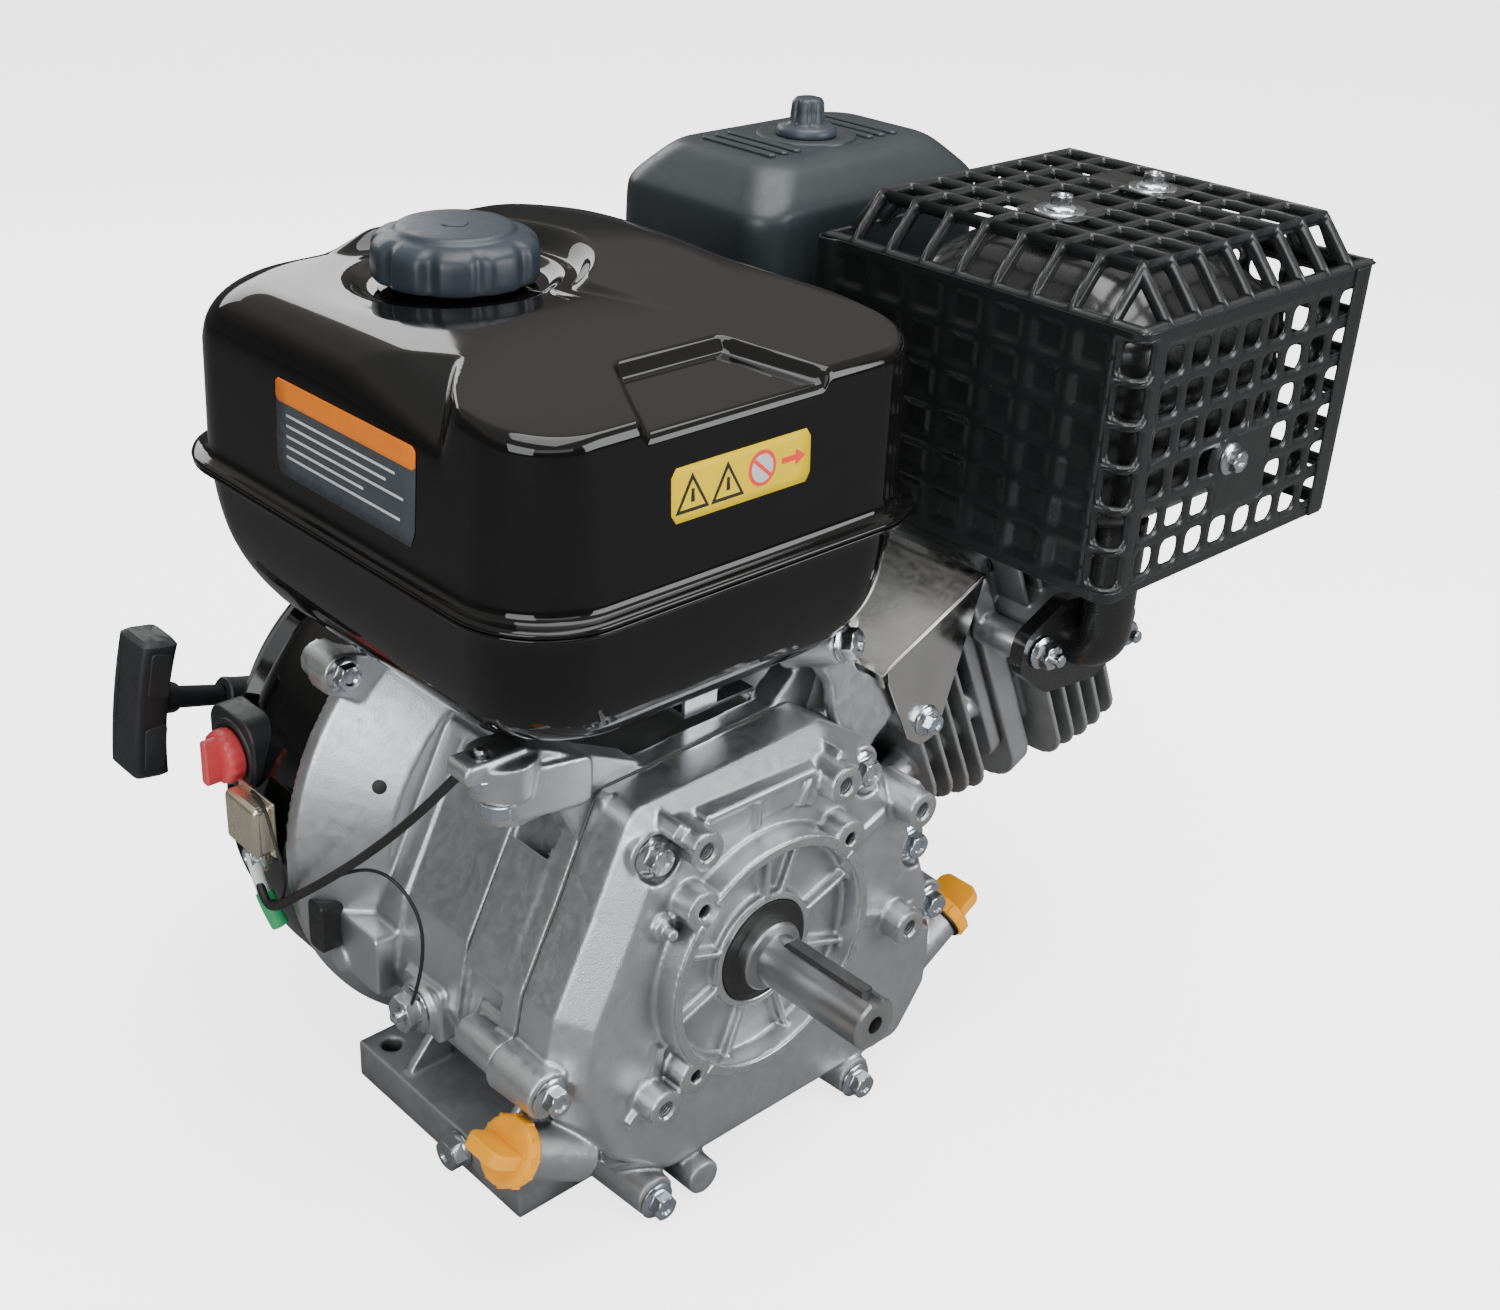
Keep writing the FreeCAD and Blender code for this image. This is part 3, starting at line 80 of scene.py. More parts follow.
# ---------------------------------------------------------------- driving dimensions
CAP_X, CAP_Y = -37.0, 188.0                       # fuel cap centre
TANK_LEFT, TANK_RIGHT, TANK_FRONT, TANK_REAR = -135.0, 94.0, 12.0, 275.0
G_LEFT, G_RIGHT, G_FRONT, G_REAR = 161.0, 347.0, -40.0, 154.0     # muffler guard walls
G_FOOT, G_EAVE, G_TOP = 147.0, 275.0, 300.0       # guard heights: foot, foot of hood, top
HOOD_SLOPE = 20.0                                 # width of the hood's sloping border
GUARD_SCREWS_X, GUARD_SCREWS_Y = (222, 295), 57.5
COVER_SCREWS = [(-60, 71), (72, 65), (113, 7), (-116, -33), (133, -38)]      # x, z
FOOT_SCREWS_X = (-59, 78)
TAPPED_BOSSES = [(-46, 77), (40, 77), (97, 41), (97, -28), (-64, -56)]       # x, z
EAR, EAR_DIR = Vector((64, 31, 130)), Vector((0.30, -0.92, 0.26)).normalized()
FAN_R, FAN_Z = 134.0, 2
ROPE_EXIT = Vector((-84, 302, 37))
ROPE_DIR = Vector((-0.961, 0, 0.277)).normalized()


# ---------------------------------------------------------------- materials
def material(name, base, rough, metal=0.0, spec=0.5, coat=0.0, coat_rough=0.05,
             var=0.12, var_scale=60, rough_var=0.1, rough_scale=300, tint=None, tint_scale=30,
             bump=0.15, bump_scale=1500, bump_dist=1e-4, bump2=0.0, bump2_scale=80,
             bump2_dist=4e-4, edge=0.0, edge_col=None, painted_shade=0.0, painted_shade_col=(0.02, 0.018, 0.015),
             painted_shade_dist=0.012, grain=None):
    """Mottled surface; var and rough_var are the spread of colour and roughness.

    tint: second colour in patches; edge: how far edges go to edge_col; painted_shade: how far
    corners and recesses are darkened as painted shade towards painted_shade_col, by ambient
    occlusion within painted_shade_dist; bump and bump2: fine and broad relief; grain: (scale,
    strength) of lines square to X. Distances are in metres.
    """
    mat = bpy.data.materials.new(name)
    mat.use_nodes = True
    nodes, links = mat.node_tree.nodes, mat.node_tree.links
    nodes.clear()
    out = nodes.new("ShaderNodeOutputMaterial")
    shader = nodes.new("ShaderNodeBsdfPrincipled")
    links.new(shader.outputs[0], out.inputs[0])
    for key, value in (("Metallic", metal), ("Specular IOR Level", spec), ("Coat Weight", coat),
                       ("Coat Roughness", coat_rough)):
        shader.inputs[key].default_value = value
    coords = nodes.new("ShaderNodeTexCoord").outputs["Object"]

    def noise(scale, detail=3.0, roughness=0.55, vector=coords):
        node = nodes.new("ShaderNodeTexNoise")
        node.inputs["Scale"].default_value = scale
        node.inputs["Detail"].default_value = detail
        node.inputs["Roughness"].default_value = roughness
        links.new(vector, node.inputs["Vector"])
        return node.outputs["Fac"]

    def remap(socket, to_min, to_max, from_min=0.3, from_max=0.7):
        node = nodes.new("ShaderNodeMapRange")
        for key, value in (("From Min", from_min), ("From Max", from_max),
                           ("To Min", to_min), ("To Max", to_max)):
            node.inputs[key].default_value = value
        links.new(socket, node.inputs["Value"])
        return node.outputs[0]

    def mix(fac, a, b):
        node = nodes.new("ShaderNodeMix")
        node.data_type = "RGBA"
        links.new(fac, node.inputs[0])
        for k, value in ((6, a), (7, b)):         # sockets 6 and 7 are the two colours
            if isinstance(value, tuple):
                node.inputs[k].default_value = (*value, 1.0)
            else:
                links.new(value, node.inputs[k])
        return node.outputs[2]

    def relief(height, strength, distance, below):
        node = nodes.new("ShaderNodeBump")
        node.inputs["Strength"].default_value = strength
        node.inputs["Distance"].default_value = distance
        links.new(height, node.inputs["Height"])
        if below is not None:
            links.new(below, node.inputs["Normal"])
        return node.outputs[0]

    colour = mix(remap(noise(var_scale), 0, 1), tuple(c * (1 - var) for c in base),
                 tuple(min(c * (1 + var), 1.0) for c in base))
    if tint is not None:
        colour = mix(remap(noise(tint_scale, detail=2.0), 0, 0.8, 0.42, 0.66), colour, tint)
    if edge > 0:
        geometry = nodes.new("ShaderNodeNewGeometry")
        colour = mix(remap(geometry.outputs["Pointiness"], 0.0, edge, 0.52, 0.60), colour,
                     edge_col or tuple(min(c * 1.6 + 0.02, 1.0) for c in base))
    rough_out = remap(noise(rough_scale), rough - rough_var, rough + rough_var)
    # painted shade: ambient occlusion darkens the colour in corners and recesses, where shade falls
    if painted_shade > 0:
        ao = nodes.new("ShaderNodeAmbientOcclusion")
        ao.samples = 4
        ao.inputs["Distance"].default_value = painted_shade_dist
        colour = mix(remap(ao.outputs["AO"], painted_shade, 0.0, 0.25, 0.85), colour, painted_shade_col)
    links.new(colour, shader.inputs["Base Color"])
    links.new(rough_out, shader.inputs["Roughness"])
    normal = None
    if bump > 0:
        normal = relief(noise(bump_scale, detail=4.0), bump, bump_dist, normal)
    if bump2 > 0:
        normal = relief(noise(bump2_scale, detail=2.0), bump2, bump2_dist, normal)
    if grain:
        scale, strength = grain
        mapping = nodes.new("ShaderNodeMapping")
        links.new(coords, mapping.inputs["Vector"])
        mapping.inputs["Scale"].default_value = (scale, scale * 0.01, scale * 0.01)
        lines = noise(1.0, detail=2.0, roughness=0.5, vector=mapping.outputs[0])
        normal = relief(lines, strength, 5e-5, normal)
    if normal is not None:
        links.new(normal, shader.inputs["Normal"])
    return mat


# cast_aluminium, cast_foot, cast_fins, zinc_steel and satin_black_paint below carry painted shade:
# their corners and recesses are darkened by ambient occlusion
# metals
CAST = material("cast_aluminium", (0.585, 0.594, 0.608), rough=0.38, metal=0.95, var=0.07,
                var_scale=45, rough_var=0.07, rough_scale=220, bump=0.5, bump_scale=1300,
                bump_dist=0.00022, edge=0.45, edge_col=(0.80, 0.80, 0.80), painted_shade=0.75,
                painted_shade_col=(0.10, 0.10, 0.105), painted_shade_dist=0.016, bump2=0.25, bump2_scale=120)
FOOT = material("cast_foot", (0.36, 0.362, 0.37), rough=0.5, metal=0.85, bump=0.5,
                bump_scale=1100, bump_dist=0.0002, edge=0.5, edge_col=(0.5, 0.5, 0.5), painted_shade=0.5)
FINS = material("cast_fins", (0.33, 0.335, 0.34), rough=0.5, metal=0.85, var_scale=70, bump=0.5,
                bump_scale=1200, bump_dist=0.00022, edge=0.8, edge_col=(0.62, 0.62, 0.61),
                painted_shade=0.5, painted_shade_col=(0.03, 0.03, 0.03))
MACHINED = material("machined_aluminium", (0.74, 0.745, 0.75), rough=0.3, metal=1.0, var=0.04,
                    var_scale=80, rough_var=0.06, bump=0.12, bump_scale=2200, bump_dist=5e-5,
                    grain=(2600, 0.25))
STEEL = material("machined_steel", (0.42, 0.42, 0.43), rough=0.3, metal=1.0, var=0.03,
                 rough_var=0.02, bump=0.0, edge=0.3, edge_col=(0.85, 0.85, 0.85))
ZINC = material("zinc_steel", (0.70, 0.71, 0.73), rough=0.2, metal=1.0, var=0.04, var_scale=120,
                rough_var=0.05, bump=0.02, bump_dist=1e-5, tint=(0.62, 0.70, 0.80), tint_scale=14,
                edge=0.2, painted_shade=0.12, painted_shade_col=(0.12, 0.13, 0.15), painted_shade_dist=0.003)
DARK = material("dark_steel", (0.045, 0.045, 0.048), rough=0.42, metal=0.9, var=0.2,
                var_scale=150, bump=0.2, bump_scale=1400, edge=0.35, edge_col=(0.25, 0.25, 0.25))
# paints and stainless sheet
GLOSS = material("gloss_black_paint", (0.0042, 0.0038, 0.0037), rough=0.055, spec=0.42, var=0.15,
                 var_scale=20, rough_var=0.025, rough_scale=60, bump=0.02, bump_dist=1e-5,
                 bump2=0.06, bump2_scale=38, bump2_dist=0.0005)
SATIN = material("satin_black_paint", (0.0095, 0.01, 0.0105), rough=0.3, coat=0.25,
                 coat_rough=0.18, var=0.08, var_scale=30, rough_var=0.03, bump=0.08,
                 bump_scale=1900, bump_dist=5e-5, edge=0.25, edge_col=(0.06, 0.062, 0.065),
                 painted_shade=0.3, painted_shade_col=(0.002, 0.002, 0.002), bump2=0.06, bump2_scale=90)
MUFFLER = material("muffler_paint", (0.008, 0.008, 0.0085), rough=0.30, coat=0.5, coat_rough=0.15,
                   var=0.2, rough_var=0.05, bump_scale=1700, bump_dist=4e-5)
STAINLESS = material("stainless", (0.70, 0.69, 0.67), rough=0.17, metal=1.0, var=0.04,
                     rough_var=0.05, bump=0.05, bump_scale=2000, bump_dist=3e-5, bump2=0.25,
                     bump2_scale=30, bump2_dist=0.0008, grain=(1800, 0.12))
# plastics
PLASTIC = material("black_plastic", (0.012, 0.0135, 0.0145), rough=0.46, rough_var=0.07, bump=0.4,
                   bump_scale=1600, bump_dist=8e-5, edge=0.25, edge_col=(0.05, 0.055, 0.06))
CLEANER = material("cleaner_plastic", (0.022, 0.0275, 0.031), rough=0.38, var=0.1, var_scale=40,
                   rough_var=0.06, bump=0.35, bump_dist=7e-5, edge=0.2,
                   edge_col=(0.08, 0.09, 0.1), bump2=0.08, bump2_scale=40)
BLUE_GREY = material("blue_grey_plastic", (0.024, 0.032, 0.043), rough=0.40, var=0.1,
                     var_scale=90, rough_var=0.06, bump=0.3, bump_dist=7e-5, edge=0.3,
                     edge_col=(0.10, 0.12, 0.15))
RED = material("red_plastic", (0.50, 0.035, 0.042), rough=0.36, var=0.1, var_scale=120,
               rough_var=0.06, bump=0.2, bump_dist=5e-5, edge=0.3, edge_col=(0.7, 0.2, 0.2))
YELLOW = material("yellow_plastic", (0.78, 0.31, 0.004), rough=0.42, spec=0.2, var=0.05,
                  var_scale=120, rough_var=0.05, bump=0.1, bump_scale=1400, bump_dist=5e-5,
                  edge=0.1, edge_col=(0.85, 0.42, 0.03))
# small parts
RUBBER = material("rubber_black", (0.012, 0.012, 0.012), rough=0.5, var=0.2, bump=0.3,
                  bump_dist=6e-5)
GASKET = material("gasket", (0.10, 0.10, 0.095), rough=0.8, var=0.2, var_scale=300, bump=0.4,
                  bump_scale=1200)
IRON = material("iron", (0.18, 0.18, 0.185), rough=0.45, metal=0.9, var=0.15, bump=0.5,
                bump_scale=900, bump_dist=0.0002, edge=0.3)
FOAM = material("foam", (0.55, 0.50, 0.30), rough=0.9, var=0.15, bump=0.8, bump_scale=500,
                bump_dist=0.0004)
GOLD = material("gold_zinc", (0.74, 0.68, 0.50), rough=0.24, metal=0.92, var=0.02,
                rough_var=0.05, bump=0.02, bump_dist=1e-5, tint=(0.70, 0.62, 0.55),
                tint_scale=40, bump2=0.05, bump2_scale=50, bump2_dist=0.0003)
ROPE = material("rope", (0.03, 0.03, 0.03), rough=0.8, var=0.4, var_scale=900, bump=0.9,
                bump_scale=900, bump_dist=0.0003)
GREEN = material("green_plastic", (0.02, 0.30, 0.10), rough=0.4, var=0.1, bump=0.2)
CLEAR = material("clear_sleeve", (0.62, 0.66, 0.62), rough=0.2, coat=0.6, var=0.1, bump=0.2)
# label inks
INK_ORANGE = material("label_orange", (0.62, 0.15, 0.006), rough=0.38, spec=0.12, var=0.04,
                      bump=0.05)
INK_GREY = material("label_grey", (0.045, 0.05, 0.056), rough=0.38, spec=0.12, var=0.06, bump=0.05)
INK_PALE = material("label_line", (0.45, 0.46, 0.47), rough=0.5, var=0.05, bump=0.05)
INK_YELLOW = material("label_yellow", (0.66, 0.46, 0.0), rough=0.38, spec=0.12, var=0.03,
                      bump=0.05)
INK_BLACK = material("label_black", (0.01, 0.01, 0.01), rough=0.45, var=0.1, bump=0.05)
INK_RED = material("label_red", (0.75, 0.02, 0.01), rough=0.45, var=0.05, bump=0.05)
# in the material list, but on no piece
material("paint_dab", (0.02, 0.36, 0.46), rough=0.5, var=0.2, bump=0.3)


# ---------------------------------------------------------------- objects and modifiers
@contextmanager
def editing(mesh):
    bm = bmesh.new()
    bm.from_mesh(mesh)
    yield bm
    bm.to_mesh(mesh)
    bm.free()


def sharp_by_angle(mesh, angle):
    with editing(mesh) as bm:
        for e in bm.edges:
            if len(e.link_faces) == 2 and e.calc_face_angle(0) > radians(angle):
                e.smooth = False


def fix_normals(o):
    with editing(o.data) as bm:
        bmesh.ops.recalc_face_normals(bm, faces=bm.faces)


def link(name, data):
    o = bpy.data.objects.new(name, data)
    bpy.context.scene.collection.objects.link(o)
    return o


def add_mesh(name, shape, mat, body="housing", replaces=None, angle=None, smooth=True):
    """Object from shape = (vertices in mm, faces); edges sharper than angle stay crisp."""
    verts, faces = shape
    mesh = bpy.data.meshes.new(name)
    mesh.from_pydata([tuple(float(c) * MM for c in v) for v in verts], [],
                     [tuple(int(i) for i in f) for f in faces])
    mesh.validate()
    mesh.update()
    o = link(name, mesh)
    mesh.materials.append(mat)
    if smooth:
        for p in mesh.polygons:
            p.use_smooth = True
        if angle is not None:
            sharp_by_angle(mesh, angle)
    if body:
        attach(o, body)
    if replaces:
        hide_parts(replaces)
    return o


def bevel(o, width, segments=2):
    m = o.modifiers.new("bevel", "BEVEL")
    m.width = width * MM
    m.segments = segments
    m.limit_method = "ANGLE"
    m.angle_limit = radians(35)


def thicken(o, thickness, offset=-1):
    m = o.modifiers.new("thick", "SOLIDIFY")
    m.thickness = thickness * MM
    m.offset = offset


def subdivide(o, name="sub", render_levels=1):
    m = o.modifiers.new(name, "SUBSURF")
    m.levels = 1
    m.render_levels = render_levels


def tube(name, points, r, mat, replaces=None):
    curve = bpy.data.curves.new(name, "CURVE")
    curve.dimensions = "3D"
    curve.bevel_depth = r * MM
    curve.bevel_resolution = 3
    curve.use_fill_caps = True
    curve.resolution_u = 8
    spline = curve.splines.new("NURBS")
    spline.points.add(len(points) - 1)
    spline.order_u = 4
    spline.use_endpoint_u = True
    for point, p in zip(spline.points, points):
        point.co = (p[0] * MM, p[1] * MM, p[2] * MM, 1.0)
    o = link(name, curve)
    curve.materials.append(mat)
    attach(o, "housing")
    if replaces:
        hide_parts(replaces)


# ---------------------------------------------------------------- shapes: (vertices, faces)
def frame_of(origin, x, y):
    """Map (a, b, c) to origin + a along x + b along y + c along their cross product."""
    x, y = Vector(x).normalized(), Vector(y).normalized()
    z, origin = x.cross(y), Vector(origin)
    return lambda a, b, c=0.0: origin + x * a + y * b + z * c


PLAN = frame_of((0, 0, 0), X, Y)      # third axis up
FRONT = frame_of((0, 0, 0), X, Z)     # third axis to the front, -Y
SIDE = frame_of((0, 0, 0), Y, Z)      # third axis to the right


def join(*shapes):
    verts, faces = [], []
    for vs, fs in shapes:
        k = len(verts)
        verts += list(vs)
        faces += [tuple(i + k for i in f) for f in fs]
    return verts, faces


def prism(outline, at, c0, c1):
    """Outline in frame at, drawn from c0 to c1 along the third axis."""
    n = len(outline)
    verts = [at(a, b, c0) for a, b in outline] + [at(a, b, c1) for a, b in outline]
    faces = [tuple(range(n))[::-1], tuple(range(n, 2 * n))]
    faces += [(i, (i + 1) % n, n + (i + 1) % n, n + i) for i in range(n)]
    return verts, faces


def rect(x0, x1, y0, y1):
    return [(x0, y0), (x1, y0), (x1, y1), (x0, y1)]


def axis_frame(axis):
    axis = Vector(axis).normalized()
    u = (Z if abs(axis.z) < 0.9 else X).cross(axis).normalized()
    return axis, u, axis.cross(u)


def lathe(profile, origin, axis, seg=48):
    """Turned shape. profile: (axial, radius) run; radius 0 closes on the axis."""
    origin = Vector(origin)
    axis, u, v = axis_frame(axis)
    verts, faces, rings = [], [], []
    for a, r in profile:
        if r < 1e-6:
            rings.append([len(verts)])
            verts.append(origin + axis * a)
            continue
        rings.append(list(range(len(verts), len(verts) + seg)))
        for i in range(seg):
            t = 2 * pi * i / seg
            verts.append(origin + axis * a + u * (r * cos(t)) + v * (r * sin(t)))
    for A, B in zip(rings, rings[1:]):
        if len(A) == 1 and len(B) == 1:
            continue
        for i in range(seg):
            j = (i + 1) % seg
            if len(A) == 1:
                faces.append((A[0], B[i], B[j]))
            elif len(B) == 1:
                faces.append((A[i], B[0], A[j]))
            else:
                faces.append((A[i], B[i], B[j], A[j]))
    return verts, faces


def turned_ring(profile, origin, axis, seg=48):
    """Closed (axial, radius) profile turned about the axis."""
    verts, faces = lathe(profile, origin, axis, seg)
    last = (len(profile) - 1) * seg
    for i in range(seg):
        j = (i + 1) % seg
        faces.append((last + i, i, j, last + j))
    return verts, faces


def peg(base, axis, length, r0, r1, seg, tip=0):
    """Round peg from radius r0 at its base to r1; tip is the rise of its end centre."""
    return lathe([(0, 0), (0, r0), (length, r1), (length + tip, 0)], base, axis, seg)


def corner_arc(before, corner, after, r, n):
    """Points of the fillet at one corner; a nearly straight corner stays one point."""
    p0, p, p1 = [np.array(q, float) for q in (before, corner, after)]
    a, b = p0 - p, p1 - p
    len_a, len_b = np.linalg.norm(a), np.linalg.norm(b)
    a /= len_a
    b /= len_b
    angle = acos(np.clip(a @ b, -1, 1))
    if angle > 3.1:
        return [tuple(p)]
    t = min(r / np.tan(angle / 2), 0.45 * len_a, 0.45 * len_b)
    r = t * np.tan(angle / 2)
    c = p + (a + b) / np.linalg.norm(a + b) * (r / sin(angle / 2))
    q0, q1 = p + a * t - c, p + b * t - c
    a0, a1 = atan2(q0[1], q0[0]), atan2(q1[1], q1[0])
    turn = (a1 - a0 + pi) % (2 * pi) - pi
    arc = [a0 + turn * k / n for k in range(n + 1)]
    return [(c[0] + r * cos(t), c[1] + r * sin(t)) for t in arc]


def rounded(points, radii, n=4):
    """Closed outline with rounded corners; radii is one number or one for each corner."""
    result = []
    for i in range(len(points)):
        r = radii[i] if isinstance(radii, list) else radii
        result += corner_arc(points[i - 1], points[i], points[(i + 1) % len(points)], r, n)
    return result


def round_rect(x0, x1, y0, y1, r, n_side, n_arc):
    """Rounded rectangle loop from the low-x, low-y corner, anticlockwise."""
    r = max(0.5, min(r, (x1 - x0) / 2 - 0.01, (y1 - y0) / 2 - 0.01))
    corners = [(x1 - r, y0 + r, -90), (x1 - r, y1 - r, 0), (x0 + r, y1 - r, 90),
               (x0 + r, y0 + r, 180)]                             # centre and start angle
    sides = [((x0 + r, y0), (x1 - r, y0)), ((x1, y0 + r), (x1, y1 - r)),
             ((x1 - r, y1), (x0 + r, y1)), ((x0, y1 - r), (x0, y0 + r))]
    points = []
    for (a, b), (cx, cy, start) in zip(sides, corners):
        for i in range(n_side):
            t = i / n_side
            points.append((a[0] + (b[0] - a[0]) * t, a[1] + (b[1] - a[1]) * t))
        for i in range(n_arc):
            t = radians(start + 90 * i / n_arc)
            points.append((cx + r * cos(t), cy + r * sin(t)))
    return np.array(points)


def lift(loop, z):
    """Flat loop raised to z, one height or one for each point."""
    return np.column_stack([loop, np.full(len(loop), z)])


def smooth_step(a, b, x):
    t = np.clip((x - a) / (b - a), 0, 1)
    return t * t * (3 - 2 * t)


def full_turn(n):
    return np.linspace(0, 2 * pi, n, endpoint=False)


def skin(loops, cap_start=False, cap_end=True):
    """Skin over equal loops; caps are fans to the mean point."""
    n = len(loops[0])
    verts = [tuple(p) for loop in loops for p in loop]
    faces = []
    for k in range(len(loops) - 1):
        for i in range(n):
            j = (i + 1) % n
            faces.append((k * n + i, k * n + j, (k + 1) * n + j, (k + 1) * n + i))
    if cap_end:
        last = (len(loops) - 1) * n
        faces += [(last + i, last + (i + 1) % n, len(verts)) for i in range(n)]
        verts.append(tuple(np.mean(loops[-1], axis=0)))
    if cap_start:
        faces += [(i, len(verts), (i + 1) % n) for i in range(n)]
        verts.append(tuple(np.mean(loops[0], axis=0)))
    return verts, faces


def fluted(profile, centre, n, flutes, depth, start, end):
    """Loops of a fluted knob. profile: radius, height, share of the flute depth.

    start and end: where a flute's side begins and ends, from its ridge 0 to its valley 1.
    """
    t = full_turn(n)
    phase = np.abs(((t / (2 * pi) * flutes) % 1) - 0.5) * 2
    loops = []
    for r, height, share in profile:
        rr = r - depth * share * smooth_step(start, end, phase)
        loops.append(np.column_stack([centre[0] + rr * np.cos(t), centre[1] + rr * np.sin(t),
                                      np.full(n, centre[2] + height)]))
    return loops


def screw(p, axis, flats=10, head=5.0, flange=8.2, shank=0.0, r=3, recess=True):
    """Flange-head hex screw: p is the bearing face, axis points out of the head."""
    p, flange_h, seg = Vector(p), 1.7, 36
    top = flange_h + head
    washer = [(0, 0.0), (0, flange - 0.4), (0.35, flange), (flange_h * 0.6, flange - 0.15),
              (flange_h, flange - 1.2), (flange_h + 0.7, flats * 0.52), (flange_h + 0.7, 0)]
    corner = flats / 1.7320508
    levels = [(flange_h - 0.3, corner), (top - 1.1, corner), (top - 0.35, corner * 0.955),
              (top, corner * 0.86), (top, flats * 0.30)]
    levels.append((top - 1.1, flats * 0.22) if recess else (top + 0.05, flats * 0.2))
    out, u, v = axis_frame(axis)
    loops = []
    for height, limit in levels:
        loop = []
        for i in range(seg):
            t = 2 * pi * i / seg
            rr = min(flats / 2 / cos((t % (pi / 3)) - pi / 6), limit)
            loop.append(p + out * height + u * (rr * cos(t)) + v * (rr * sin(t)))
        loops.append(loop)
    verts, faces = skin(loops)
    faces.append(tuple(range(seg))[::-1])
    shapes = [lathe(washer, p, axis, seg), (verts, faces)]
    if shank > 0:
        shapes.append(lathe([(0.2, 0), (0.2, r), (-shank + 1, r), (-shank, r - 0.9), (-shank, 0)],
                            p, axis, 20))
    return join(*shapes)


# ---------------------------------------------------------------- fuel tank
def tank_top(x, y):
    """Height of the pressed tank top over (x, y)."""
    plateau = 280.0 + 5.0 * (1 - ((x + 21) / 113) ** 2) * (1 - ((y - 140) / 132) ** 2)
    dist = np.hypot(x - CAP_X, y - CAP_Y)
    angle = np.arctan2(y - CAP_Y, x - CAP_X)
    # raised land right of and behind the cap, and a dished seat under it
    sector = (smooth_step(radians(-68), radians(-50), angle)
              * (1 - smooth_step(radians(88), radians(112), angle)))
    edge = smooth_step(2, 24, np.minimum.reduce([TANK_RIGHT - x, TANK_REAR - y]))
    far = 1 - 0.55 * smooth_step(92, 130, dist)
    plateau = (plateau + 8.5 * sector * smooth_step(53, 66, dist) * edge * far
               - 3.6 * (1 - smooth_step(40, 50, dist)) - 1.2 * (1 - smooth_step(48, 70, dist)))
    # sloping front facet, blended over a small width
    facet = 274.4 + 0.108 * (y - TANK_FRONT)
    blend = 1.6
    share = np.clip(0.5 + 0.5 * (facet - plateau) / blend, 0, 1)
    z = facet * (1 - share) + plateau * share - blend * share * (1 - share)
    # pressed pocket, open to the front crease
    left = -79 + (y - TANK_FRONT) * 0.54
    right = 26 - (y - TANK_FRONT) * 0.36
    z = z - 5.8 * (smooth_step(-0.4, 3.4, x - left) * smooth_step(-0.4, 3.4, right - x)
                   * (1 - smooth_step(58.5, 63, y)))
    # wedge in the upper left shoulder: its floor falls outwards to a short steep face
    out = ((x + 133) * -52 + (y - 152) * -34) / 62.1
    along = ((x + 99) * -36 + (y - 100) * 34) / 49.5
    return z - np.clip(out - 1.0, 0, 60) * 0.30 * smooth_step(-0.6, 2.6, along)


def tank_loop(inset, r, n_side, n_arc):
    return round_rect(TANK_LEFT + inset, TANK_RIGHT - inset, TANK_FRONT + inset,
                      TANK_REAR - inset, r, n_side, n_arc)


def wall_inset(z):
    """How far the tank wall leans in at height z."""
    return 0.4 + 2.4 * max(0, z - 208) / 46


def tank_upper():
    counts = ((96, 18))
    seam = [(-6.4, 198.6, 44), (-7.1, 199.6, 44.4), (-6.6, 200.9, 44), (-4.6, 201.6, 42),
            (-2.2, 201.9, 40), (-0.7, 203.0, 38.6), (0.1, 205.0, 38), (0.4, 208, 38)]
    loops = [lift(tank_loop(inset, r, *counts), z) for inset, z, r in seam]  # inset, z, radius
    for z in np.linspace(214, 254, 9):
        loops.append(lift(tank_loop(wall_inset(z), 38 - 0.12 * (z - 208), *counts), z))
    # sharp crease at the front, round shoulder behind
    ref = tank_loop(3, 34, *counts)
    crease = 1 - smooth_step(58, 70, ref[:, 1])
    crease = np.where(ref[:, 0] > 40, 1 - smooth_step(60, 200, ref[:, 1]), crease)
    for angle in np.linspace(0, 90, 19)[1:]:
        rise, run = sin(radians(angle)), 1 - cos(radians(angle))
        soft = tank_loop(3 + 21 * run, 33 + 3 * rise, *counts)
        hard = tank_loop(3 + 4.2 * run, 32, *counts)
        plan = soft * (1 - crease)[:, None] + hard * crease[:, None]
        top = tank_top(plan[:, 0], plan[:, 1])
        z_soft = 255 + (top - 255) * rise
        z_hard = 255 + (top - 255) * min(1.0, 0.66 + 0.34 * rise)
        loops.append(lift(plan, z_soft * (1 - crease) + z_hard * crease))
    outer, middle = loops[-1][:, :2], tank_loop(112, 1.0, *counts)
    for t in np.linspace(0, 1, 58)[1:]:
        plan = outer * (1 - t) + middle * t
        loops.append(lift(plan, tank_top(plan[:, 0], plan[:, 1])))
    o = add_mesh("tank_upper_shell", skin(loops), GLOSS, replaces="fuel_tank_upper")
    with editing(o.data) as bm:           # open the filler
        hole = [v for v in bm.verts if v.co.z > 0.25
                and hypot(v.co.x - CAP_X * MM, v.co.y - CAP_Y * MM) < 0.029]
        bmesh.ops.delete(bm, geom=hole, context="VERTS")
    thicken(o, 1.4)


def filler_neck():
    seat_z = float(tank_top(np.array([CAP_X]), np.array([CAP_Y]))[0])
    profile = [(-6, 27.6), (0.5, 27.6), (9, 27.8), (9.6, 28.6), (9.3, 29.8), (3, 30.2),
               (0.6, 31.5), (-0.6, 35)]
    add_mesh("tank_filler_neck", lathe(profile, (CAP_X, CAP_Y, seat_z), Z, 64), GLOSS)


